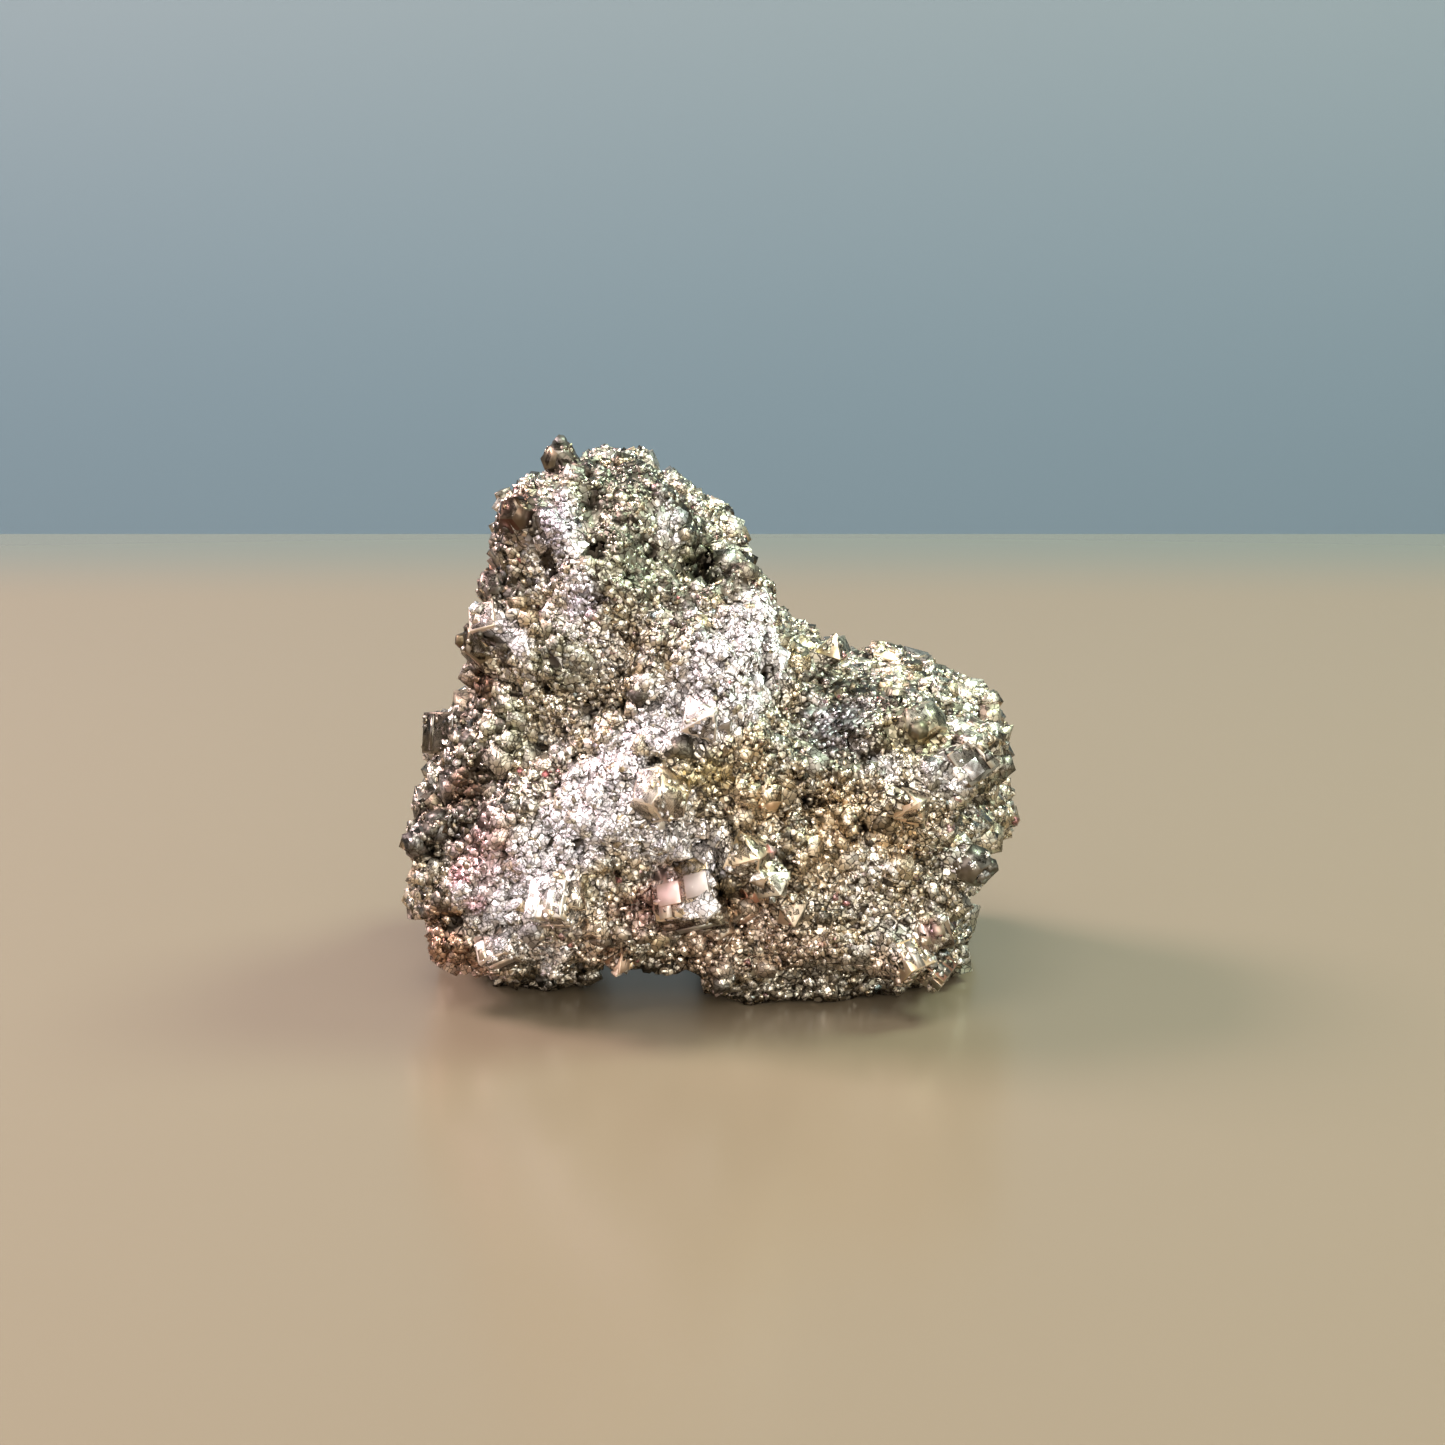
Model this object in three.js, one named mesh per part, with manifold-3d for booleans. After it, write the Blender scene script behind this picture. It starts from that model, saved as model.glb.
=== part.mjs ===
// A pyrite cluster: one lump of iron pyrites, a knobbly fine-grained mass that larger cubes, octahedra and
// pyritohedra have grown out of. It stands on a flat-cut underside, with a shallow arch right through under it.
//
// The mass is star-shaped: from a point at its heart, each direction leaves it once. How far that is comes from
// the front outline and two depths. Swells, hollows and small angular lumps are added to it, the crystals are
// joined on, and the arch and the underside are cut away.
//
// Millimetres, +Z up, -Y the front. The origin is on the surface the lump stands on, under the middle of its box.

import * as THREE from "three";
import { ConvexGeometry } from "three/addons/geometries/ConvexGeometry.js";
import { mergeVertices } from "three/addons/utils/BufferGeometryUtils.js";
import Module from "manifold-3d";

// Driving sizes
const HEART = new THREE.Vector3(-2, 0, 21); // the point that the mass is drawn around
const FRONT_DEPTH = 15.5; // from the heart to the front and to the back
const BACK_DEPTH = 14.5;
const CRUST = 0.8; // how far the lumps and crystals stand out past the outline, on average
const UPPER_FULLNESS = 2.3; // 2 gives an ellipse between outline and depth, and more gives a boxier section
const LOWER_FULLNESS = 3.2;
const MASS_DETAIL = 17; // each of an icosahedron's faces becomes (MASS_DETAIL + 1) squared triangles
const MERGE_WITHIN = 1e-4;

// The widest section, as [x, z] points anticlockwise from the right. It runs on below the cut underside.
const OUTLINE = [
  [29.3, 13.0], [27.6, 18.0], [29.3, 21.8], [28.6, 25.0], [23.8, 26.6], [21.6, 28.6], [17.2, 29.2],
  [12.2, 29.6], [8.2, 31.4], [6.5, 35.3], [6.0, 38.9], [3.9, 42.1], [-0.2, 45.0], [-4.2, 48.0], [-8.0, 49.8],
  [-11.2, 49.8], [-13.5, 50.0], [-16.0, 48.5], [-17.0, 46.6], [-19.0, 44.4], [-20.3, 40.4], [-20.2, 36.4],
  [-20.3, 31.2], [-21.5, 27.6], [-24.0, 24.9], [-25.4, 22.5], [-26.8, 17.5], [-27.0, 12.6], [-25.2, 7.6],
  [-24.4, 3.4], [-21.8, -1.0], [-15.0, -3.5], [-2.0, -4.5], [12.0, -4.5], [24.6, -1.5], [25.6, 4.2],
  [24.2, 8.4], [27.6, 10.6],
];

// Swells (rise above 0) and hollows (rise below 0). Each follows a path of points near the surface, and fades
// out over its width.
const RELIEF = [
  // front
  { path: [[-17, -10, 10], [-9, -14, 19], [-1, -13, 28], [6, -8, 36]], width: 4.6, rise: 1.9 }, // long ridge
  { path: [[-26, -5, 14], [-18, -11, 22], [-10, -12, 30], [-1, -8, 40]], width: 3.2, rise: -2.0 }, // trough
  { path: [[-15, -7, 43]], width: 4.2, rise: 1.6 },
  { path: [[-2, -6, 44]], width: 4, rise: 1.0 },
  { path: [[10, -10, 28], [13, -12, 23]], width: 3.8, rise: -2.4 }, // saddle between peak and shoulder
  { path: [[20, -9, 27]], width: 5, rise: 1.6 },
  { path: [[5, -16, 15.5], [13, -15, 17.5], [21, -12, 20]], width: 2.2, rise: 1.8 }, // ledge
  { path: [[7, -16, 12], [14, -15, 14]], width: 2.0, rise: -1.4 }, // under the ledge
  { path: [[3.5, -15, 7.5]], width: 3.2, rise: -2.8 }, // crystal-lined pits
  { path: [[0.5, -15, 15]], width: 2.4, rise: -1.8 },
  { path: [[-1.5, -15, 21]], width: 2.2, rise: -1.8 },
  { path: [[16, -13, 7], [20, -11, 10]], width: 6, rise: 2.4 }, // lower right block
  { path: [[-20, -9, 9]], width: 5.5, rise: 1.8 },
  { path: [[-24, -9, 0], [-9, -13, 0]], width: 3.4, rise: -4.4 }, // undercut left of the arch
  { path: [[10, -15, 0], [22, -12, 0]], width: 2.8, rise: -3.7 }, // and right of it
  { path: [[1.5, -15, 0.5]], width: 2.2, rise: 1.9 },
  { path: [[24.5, -9, 18.5], [29, 0, 18.2]], width: 1.4, rise: -2.2 }, // clefts on the right
  { path: [[24, -9, 8.6], [28, 0, 8.6]], width: 1.6, rise: -2.0 },
  // left, right and top
  { path: [[-26, 3, 18]], width: 4.5, rise: 1.2 },
  { path: [[-20, 6, 38]], width: 4.5, rise: -1.8 },
  { path: [[25, 8, 12]], width: 5, rise: 2.0 },
  { path: [[22, 9, 26], [12, 11, 33]], width: 4, rise: 1.8 },
  { path: [[5, 6, 38]], width: 4, rise: -1.5 },
  // back
  { path: [[-14, 12, 12], [-8, 13, 26], [-9, 9, 42]], width: 5.5, rise: 2.4 },
  { path: [[-22, 9, 24], [-16, 12, 33]], width: 3.2, rise: -2.4 },
  { path: [[4, 15, 22], [1, 11, 36]], width: 3.6, rise: -2.6 },
  { path: [[8, 16, 8], [18, 12, 12]], width: 5.5, rise: 2.4 },
  { path: [[14, 14, 22]], width: 3.6, rise: -2.0 },
  { path: [[-3, 16, 6]], width: 3.4, rise: -2.2 },
];

// Angular lumps all over, coarse ones and the finer ones that they carry.
const LUMPS = [
  { pitch: 9.5, rise: 5.2, seed: 1 },
  { pitch: 4.6, rise: 2.8, seed: 2 },
];

// The arch, which runs from front to back. Its ceiling is height above the ground at heightAt, and rises by slope.
const ARCH = { left: -9.4, right: -0.2, height: 3.2, heightAt: -14, slope: 0.22, round: 1.2, depth: 44 };

// Larger crystals that were placed one by one. Each grows where the ray from the heart towards a point leaves
// the mass. Its turn is in degrees about X, Y and Z, and sink is the share of its size that is buried.
const CRYSTALS = [
  { habit: "pyritohedron", size: 3.2, toward: [-13.6, 0, 50], turn: [20, 35, 10], sink: 0.2 }, // the tip
  { habit: "pyritohedron", size: 3.4, toward: [-17.1, -8.8, 46.2], turn: [-40, 2, -144], sink: 0.5 },
  { habit: "pyritohedron", size: 3.4, toward: [-19, -6, 38.5], turn: [50, 10, 15], sink: 0.45 },
  { habit: "cube", size: 2.6, toward: [-18.7, -7.4, 34.9], turn: [49, -27, 93], sink: 0.4 },
  { habit: "pyritohedron", size: 4.6, toward: [-19.5, -5, 32.5], turn: [70, 15, 20], sink: 0.55 },
  { habit: "cube", size: 3.8, toward: [-24, -1, 23], turn: [67, -38, 87], sink: 0.6 },
  { habit: "cube", size: 2.8, toward: [-26, -5, 17], turn: [30, 10, 12], sink: 0.5 },
  { habit: "cube", size: 2.0, toward: [-26.5, -6, 8.5], turn: [12, 22, 35], sink: 0.4 },
  { habit: "octahedron", size: 5, toward: [-0.1, -16.5, 28.8], turn: [-14, -30, -149], sink: 0.5 },
  { habit: "pyritohedron", size: 5.4, toward: [-3.8, -16.7, 22], turn: [-35, 10, -144], sink: 0.5 },
  { habit: "octahedron", size: 5.4, toward: [3.6, -16.3, 16.6], turn: [-10, -18, -156], sink: 0.3 },
  { habit: "octahedron", size: 3.8, toward: [5.9, -17.1, 14.3], turn: [24, -32, -69], sink: 0.3 },
  { habit: "cube", size: 5.6, toward: [-1.1, -14.7, 11.6], turn: [53, -18, 97], sink: 0.6 },
  { habit: "cube", size: 3.6, toward: [-13.1, -16.7, 12], turn: [51, -22, 81], sink: 0.45 },
  { habit: "cube", size: 2.4, toward: [4.6, -15, 8.6], turn: [35, 40, 20], sink: 0.4 },
  { habit: "pyritohedron", size: 2.8, toward: [1.8, -15, 6.6], turn: [60, 20, 30], sink: 0.4 },
  { habit: "octahedron", size: 3.4, toward: [7.6, -15, 10.8], turn: [20, 50, 10], sink: 0.35 },
  { habit: "cube", size: 3, toward: [-18.3, -13.5, 6.7], turn: [49, -27, 103], sink: 0.45 },
  { habit: "cube", size: 3.6, toward: [23.1, -11.7, 23.3], turn: [62, 15, 128], sink: 0.5 },
  { habit: "pyritohedron", size: 4.4, toward: [20.6, -10, 26.4], turn: [45, 20, 30], sink: 0.5 },
  { habit: "octahedron", size: 4.4, toward: [16.4, -13, 20.2], turn: [60, 12, 30], sink: 0.45 },
  { habit: "cube", size: 3, toward: [20.4, -13.7, 8.1], turn: [70, 6, 104], sink: 0.5 },
  { habit: "cube", size: 3, toward: [18.4, -15.1, 6.2], turn: [45, 19, 119], sink: 0.5 },
  { habit: "cube", size: 2.6, toward: [20.6, -14.4, 5], turn: [45, 19, 144], sink: 0.5 },
  { habit: "pyritohedron", size: 3.8, toward: [23.1, -11.3, 14.1], turn: [-25, -45, -89], sink: 0.5 },
  { habit: "cube", size: 2.8, toward: [24, -3, 27.6], turn: [32, 40, 20], sink: 0.6 },
  { habit: "octahedron", size: 3.8, toward: [12.9, -1, 31.6], turn: [10, 8, 20], sink: 0.05 },
  { habit: "octahedron", size: 3.0, toward: [-7.6, -14, 5.0], turn: [20, 10, 0], sink: 0.35 },
  // back and sides
  { habit: "cube", size: 5.8, toward: [-12, 13, 22], turn: [18, 24, 30], sink: 0.55 },
  { habit: "cube", size: 4.2, toward: [-8.4, 14, 25], turn: [40, 10, 22], sink: 0.5 },
  { habit: "pyritohedron", size: 6.0, toward: [8, 15, 14], turn: [20, 40, 10], sink: 0.5 },
  { habit: "octahedron", size: 5.6, toward: [17, 11, 9], turn: [30, 15, 50], sink: 0.4 },
  { habit: "cube", size: 3.8, toward: [4, 12, 33], turn: [50, 20, 35], sink: 0.5 },
  { habit: "pyritohedron", size: 4.8, toward: [24, 7, 20], turn: [10, 50, 30], sink: 0.5 },
  { habit: "cube", size: 4.6, toward: [-22, 9, 10], turn: [25, 35, 12], sink: 0.5 },
  { habit: "octahedron", size: 5.0, toward: [-16, 8, 40], turn: [15, 30, 25], sink: 0.4 },
];

// Smaller crystals, spread evenly over the mass and then turned and sized at random.
const SCATTER = { tries: 130, farthest: 33, least: 1.9, most: 4.2, sink: 0.58 };

const PYRITE = { color: 0xb9ab90, metalness: 1, roughness: 0.32 };

const wasm = await Module();
wasm.setup();

const fraction = (value) => value - Math.floor(value);
const radians = THREE.MathUtils.degToRad;

// A number from 0 to 1 that looks random and is the same for the same four whole numbers.
const noise = (i, j, k, n) => fraction(Math.sin(i * 127.1 + j * 311.7 + k * 74.7 + n * 53.3) * 43758.5453);

// The outline as bearings round the heart and how far out it is there, in order of bearing.
const bearings = OUTLINE.map(([x, z]) => ({
  bearing: Math.atan2(z - HEART.z, x - HEART.x),
  reach: Math.hypot(x - HEART.x, z - HEART.z) - CRUST,
})).sort((a, b) => a.bearing - b.bearing);

function outlineReach(bearing) {
  const next = bearings.findIndex((point) => point.bearing > bearing);
  const after = bearings[next < 0 ? 0 : next];
  const before = bearings.at(next < 0 ? -1 : next - 1);
  const turn = 2 * Math.PI;
  const step = (after.bearing - before.bearing + turn) % turn;
  const share = ((bearing - before.bearing + turn) % turn) / step;
  return THREE.MathUtils.lerp(before.reach, after.reach, share);
}

// The plain surface: in each plane through the heart's Y axis, a superellipse from the outline to the depth.
function plainPoint(direction) {
  const flat = Math.hypot(direction.x, direction.z);
  const depth = direction.y < 0 ? FRONT_DEPTH : BACK_DEPTH;
  const rising = THREE.MathUtils.smoothstep(direction.z, -0.5, 0.3);
  const fullness = THREE.MathUtils.lerp(LOWER_FULLNESS, UPPER_FULLNESS, rising);
  const across = flat / outlineReach(Math.atan2(direction.z, direction.x));
  const reach = (across ** fullness + (Math.abs(direction.y) / depth) ** fullness) ** (-1 / fullness);
  return HEART.clone().addScaledVector(direction, reach);
}

const towards = (point) => new THREE.Vector3(...point).sub(HEART).normalize();

// Each relief path drawn out to the plain surface, as the lines between its points.
const drawnRelief = RELIEF.map(({ path, width, rise }) => {
  const points = path.map((point) => plainPoint(towards(point)));
  const lines = points.map((point, n) => new THREE.Line3(points[Math.max(n - 1, 0)], point));
  return { lines, width, rise };
});

function reliefAt(point) {
  const nearest = new THREE.Vector3();
  return drawnRelief.reduce((sum, { lines, width, rise }) => {
    const gaps = lines.map((line) => line.closestPointToPoint(point, true, nearest).distanceTo(point));
    return sum + rise * Math.exp(-((Math.min(...gaps) / width) ** 2));
  }, 0);
}

// Angular lumps, one to each cell of a grid but off its middle, each the corner of a cube with its own turn.
// The result is 1 at a lump's middle, and falls evenly down each of its sides.
function lumpAt(point, pitch, seed) {
  const cell = point.clone().divideScalar(pitch).floor();
  let nearest = Infinity;
  for (const i of [-1, 0, 1])
    for (const j of [-1, 0, 1])
      for (const k of [-1, 0, 1]) {
        const corner = [cell.x + i, cell.y + j, cell.z + k];
        const middle = corner.map((at, axis) => (at + noise(...corner, seed * 6 + axis)) * pitch);
        const turn = corner.map((_, axis) => Math.PI * noise(...corner, seed * 6 + 3 + axis));
        const offset = point.clone().sub(new THREE.Vector3(...middle)).applyEuler(new THREE.Euler(...turn));
        nearest = Math.min(nearest, Math.max(...offset.toArray().map(Math.abs)));
      }
  return 1 - nearest / pitch;
}

function surfacePoint(direction) {
  const plain = plainPoint(direction);
  const lumps = LUMPS.reduce((sum, { pitch, rise, seed }) => sum + rise * (lumpAt(plain, pitch, seed) - 0.6), 0);
  return plain.addScaledVector(direction, reliefAt(plain) + lumps);
}

// A three.js geometry as a manifold-3d solid.
function solidOf(geometry) {
  const bare = geometry.clone();
  bare.deleteAttribute("normal");
  bare.deleteAttribute("uv");
  const merged = mergeVertices(bare, MERGE_WITHIN);
  return new wasm.Manifold(
    new wasm.Mesh({
      numProp: 3,
      vertProperties: merged.attributes.position.array,
      triVerts: new Uint32Array(merged.index.array),
    }),
  );
}

function massSolid() {
  const bare = new THREE.IcosahedronGeometry(1, MASS_DETAIL);
  bare.deleteAttribute("normal");
  bare.deleteAttribute("uv");
  const ball = mergeVertices(bare, MERGE_WITHIN);
  const places = ball.attributes.position;
  for (let n = 0; n < places.count; n++) {
    const direction = new THREE.Vector3().fromBufferAttribute(places, n).normalize();
    places.setXYZ(n, ...surfacePoint(direction).toArray());
  }
  return solidOf(ball);
}

// The habits, each about 1 across: an octahedron's size is from tip to tip.
function pyritohedron() {
  const longer = 1.5; // pyrite's own pentagonal dodecahedron, with h = 1/2
  const shorter = 0.75;
  const points = [];
  for (const a of [-1, 1])
    for (const b of [-1, 1]) {
      points.push([0, a * shorter, b * longer], [a * shorter, b * longer, 0], [b * longer, 0, a * shorter]);
      points.push([a, b, -1], [a, b, 1]);
    }
  return new ConvexGeometry(points.map((point) => new THREE.Vector3(...point).multiplyScalar(1 / 3)));
}
const HABITS = {
  cube: new THREE.BoxGeometry(1, 1, 1),
  octahedron: new THREE.OctahedronGeometry(0.5),
  pyritohedron: pyritohedron(),
};

function crystalSolid({ habit, size, direction, turn, sink }) {
  const place = surfacePoint(direction).addScaledVector(direction, size * (0.5 - sink));
  const rotation = new THREE.Quaternion().setFromEuler(new THREE.Euler(...turn.map(radians)));
  const scale = new THREE.Vector3(size, size, size);
  return solidOf(HABITS[habit].clone().applyMatrix4(new THREE.Matrix4().compose(place, rotation, scale)));
}

// Directions on a golden-angle spiral, thinned out where the surface is near the heart, with a random habit,
// size and turn for each.
function scatteredCrystals() {
  const goldenAngle = Math.PI * (3 - Math.sqrt(5));
  const habits = ["cube", "cube", "pyritohedron", "octahedron"];
  return Array.from({ length: SCATTER.tries }, (_, n) => {
    const up = 1 - (2 * n + 1) / SCATTER.tries;
    const bearing = n * goldenAngle;
    const flat = Math.sqrt(1 - up * up);
    return {
      habit: habits[Math.floor(noise(n, 1, 0, 0) * habits.length)],
      size: THREE.MathUtils.lerp(SCATTER.least, SCATTER.most, noise(n, 2, 0, 0) ** 2),
      direction: new THREE.Vector3(flat * Math.cos(bearing), flat * Math.sin(bearing), up),
      turn: [0, 1, 2].map((axis) => 90 * noise(n, 3, axis, 0)),
      sink: SCATTER.sink,
    };
  }).filter(({ direction }, n) => {
    const reach = plainPoint(direction).distanceTo(HEART);
    return noise(n, 4, 0, 0) < 0.8 * (reach / SCATTER.farthest) ** 2;
  });
}

// A round-shouldered tunnel that runs in under the front.
function archSolid() {
  const { left, right, height, heightAt, slope, round, depth } = ARCH;
  const below = -20;
  const outline = new THREE.Shape();
  outline.moveTo(left, below);
  outline.lineTo(right, below);
  outline.lineTo(right, height - round);
  outline.absarc(right - round, height - round, round, 0, Math.PI / 2);
  outline.absarc(left + round, height - round, round, Math.PI / 2, Math.PI);
  outline.closePath();
  const tunnel = new THREE.ExtrudeGeometry(outline, { depth, bevelEnabled: false, curveSegments: 3 });
  tunnel.rotateX(Math.PI / 2); // the outline now faces the front, and the tunnel runs towards -Y
  tunnel.translate(0, depth - FRONT_DEPTH - 4, -slope * heightAt);
  // its ceiling rises towards the back
  tunnel.applyMatrix4(new THREE.Matrix4().makeShear(0, 0, 0, slope, 0, 0));
  return solidOf(tunnel);
}

function belowGroundSolid() {
  const side = 100;
  return solidOf(new THREE.BoxGeometry(side, side, side).translate(0, 0, -side / 2));
}

function clusterGeometry() {
  const placed = CRYSTALS.map((crystal) => ({ ...crystal, direction: towards(crystal.toward) }));
  const solid = [...placed, ...scatteredCrystals()]
    .map(crystalSolid)
    .reduce((joined, crystal) => joined.add(crystal), massSolid())
    .subtract(archSolid())
    .subtract(belowGroundSolid());
  const [lump] = solid.decompose().sort((a, b) => b.volume() - a.volume()); // any chip cut loose is dropped
  const { vertProperties, triVerts } = lump.getMesh();
  const geometry = new THREE.BufferGeometry();
  geometry.setAttribute("position", new THREE.BufferAttribute(vertProperties, 3));
  geometry.setIndex(new THREE.BufferAttribute(triVerts, 1));
  geometry.computeBoundingBox();
  const middle = geometry.boundingBox.getCenter(new THREE.Vector3());
  return geometry.translate(-middle.x, -middle.y, 0);
}

const cluster = new THREE.Mesh(clusterGeometry(), new THREE.MeshStandardMaterial(PYRITE));
cluster.name = "pyrite_cluster";

const group = new THREE.Group();
group.add(cluster);

export default group;
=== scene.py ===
"""A pyrite cluster: a knobbly mass of grown-together grains with larger crystals standing out of it.

The shapes are worked out in millimetres in the lump's own frame, +Z up and -Y the front, and go to metres as
each mesh is made. The mass is star-shaped: every direction from a point at its heart leaves it once.
"""

import math
from itertools import combinations, product
from types import SimpleNamespace

import bpy
import numpy as np
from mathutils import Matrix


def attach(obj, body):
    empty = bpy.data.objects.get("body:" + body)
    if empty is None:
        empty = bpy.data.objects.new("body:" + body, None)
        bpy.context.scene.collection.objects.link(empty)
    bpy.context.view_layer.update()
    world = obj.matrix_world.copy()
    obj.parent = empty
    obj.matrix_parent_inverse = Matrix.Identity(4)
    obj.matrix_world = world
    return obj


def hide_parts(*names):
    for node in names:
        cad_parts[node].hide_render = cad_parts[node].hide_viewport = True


bl_info = {
    "name": "Pyrite Cluster",
    "version": (1, 0, 0),
    "blender": (4, 5, 0),
    "location": "3D View > Sidebar > Pyrite",
    "description": "A lump of pyrite crystals on a plain stage",
    "category": "Add Mesh",
}

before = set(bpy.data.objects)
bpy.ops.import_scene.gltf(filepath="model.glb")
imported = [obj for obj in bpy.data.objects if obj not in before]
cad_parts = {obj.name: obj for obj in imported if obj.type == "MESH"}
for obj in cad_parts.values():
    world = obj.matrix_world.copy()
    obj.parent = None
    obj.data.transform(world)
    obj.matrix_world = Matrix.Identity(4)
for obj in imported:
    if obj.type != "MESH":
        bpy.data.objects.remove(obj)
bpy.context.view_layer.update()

# ---------------------------------------------------------------------------------------------------------
# The lump's form, in millimetres
# ---------------------------------------------------------------------------------------------------------

HEART = np.array([-2.0, 0.0, 21.0])
TO_FRAME = np.array([-1.036, 0.011, 0.0])  # moves the lump's own frame onto the part's
FRONT_DEPTH, BACK_DEPTH = 15.5, 14.5
CRUST = 0.8  # how far inside the outline the plain surface lies, which leaves room for what stands on it

# The superellipse's power low down and high up, and the rise of a direction where it starts to change and the
# rise over which it does.
FULLNESS = SimpleNamespace(lower=3.2, upper=2.3, start=-0.5, span=0.8)

# The widest section, as (x, z) points anticlockwise from the right.
OUTLINE = np.array([
    (29.3, 13.0), (27.6, 18.0), (29.3, 21.8), (28.6, 25.0), (23.8, 26.6), (21.6, 28.6), (17.2, 29.2),
    (12.2, 29.6), (8.2, 31.4), (6.5, 35.3), (6.0, 38.9), (3.9, 42.1), (-0.2, 45.0), (-4.2, 48.0),
    (-8.0, 49.8), (-11.2, 49.8), (-13.5, 50.0), (-16.0, 48.5), (-17.0, 46.6), (-19.0, 44.4), (-20.3, 40.4),
    (-20.2, 36.4), (-20.3, 31.2), (-21.5, 27.6), (-24.0, 24.9), (-25.4, 22.5), (-26.8, 17.5), (-27.0, 12.6),
    (-25.2, 7.6), (-24.4, 3.4), (-21.8, -1.0), (-15.0, -3.5), (-2.0, -4.5), (12.0, -4.5), (24.6, -1.5),
    (25.6, 4.2), (24.2, 8.4), (27.6, 10.6),
])

# Swells and hollows: a path of points near the surface, how wide it is and how far it rises or sinks.
RELIEF = [
    ([(-17, -10, 10), (-9, -14, 19), (-1, -13, 28), (6, -8, 36)], 4.6, 1.9),
    ([(-26, -5, 14), (-18, -11, 22), (-10, -12, 30), (-1, -8, 40)], 3.2, -2.0),
    ([(-15, -7, 43)], 4.2, 1.6),
    ([(-2, -6, 44)], 4, 1.0),
    ([(10, -10, 28), (13, -12, 23)], 3.8, -2.4),
    ([(20, -9, 27)], 5, 1.6),
    ([(5, -16, 15.5), (13, -15, 17.5), (21, -12, 20)], 2.2, 1.8),
    ([(7, -16, 12), (14, -15, 14)], 2.0, -1.4),
    ([(3.5, -15, 7.5)], 3.2, -2.8),
    ([(0.5, -15, 15)], 2.4, -1.8),
    ([(-1.5, -15, 21)], 2.2, -1.8),
    ([(16, -13, 7), (20, -11, 10)], 6, 2.4),
    ([(-20, -9, 9)], 5.5, 1.8),
    ([(-24, -9, 0), (-9, -13, 0)], 3.4, -4.4),
    ([(10, -15, 0), (22, -12, 0)], 2.8, -3.7),
    ([(1.5, -15, 0.5)], 2.2, 1.9),
    ([(24.5, -9, 18.5), (29, 0, 18.2)], 1.4, -2.2),
    ([(24, -9, 8.6), (28, 0, 8.6)], 1.6, -2.0),
    ([(-26, 3, 18)], 4.5, 1.2),
    ([(-20, 6, 38)], 4.5, -1.8),
    ([(25, 8, 12)], 5, 2.0),
    ([(22, 9, 26), (12, 11, 33)], 4, 1.8),
    ([(5, 6, 38)], 4, -1.5),
    ([(-14, 12, 12), (-8, 13, 26), (-9, 9, 42)], 5.5, 2.4),
    ([(-22, 9, 24), (-16, 12, 33)], 3.2, -2.4),
    ([(4, 15, 22), (1, 11, 36)], 3.6, -2.6),
    ([(8, 16, 8), (18, 12, 12)], 5.5, 2.4),
    ([(14, 14, 22)], 3.6, -2.0),
    ([(-3, 16, 6)], 3.4, -2.2),
]

# Angular lumps as (pitch, rise, seed): the first two shape the lump, and the others roughen its skin. A lump
# higher than the level raises the surface, and a lower one sinks it.
COARSE_LUMPS = [(9.5, 5.2, 1), (4.6, 2.8, 2)]
SKIN_LUMPS = [(2.7, 0.85, 3), (1.2, 0.3, 4)]
LUMP_LEVEL = 0.6

# Pits between the lumps: how many are tried all round, how far they stray from an even spread, and their
# least and greatest width and depth.
PITS = SimpleNamespace(tries=520, stray=0.12, width=(0.5, 1.1), depth=(0.8, 2.2))

# The mass is bare crystal where a crystal raises it by more than this.
BARE_RISE = 0.05

# How deep a hollow must be for full painted shade: the sinking of its pit, and what the height of the skin
# adds.
HOLLOW = SimpleNamespace(depth=1.2, skin_share=0.5, skin_level=0.35)

# The underside's small angular lumps: only what is higher than the level stands up from the base.
UNDERSIDE = SimpleNamespace(pitch=3.1, rise=1.4, level=0.45, seed=7)

# The arch runs from front to back under the lump, and its ceiling rises towards the back. Its sides wander.
ARCH = SimpleNamespace(left=-9.4, right=-0.2, height=3.2, front=-14.0, slope=0.22)
ARCH_SIDES = SimpleNamespace(pitch=2.2, wander=0.9, seed=8)
CEILING_SAG = 0.5

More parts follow.
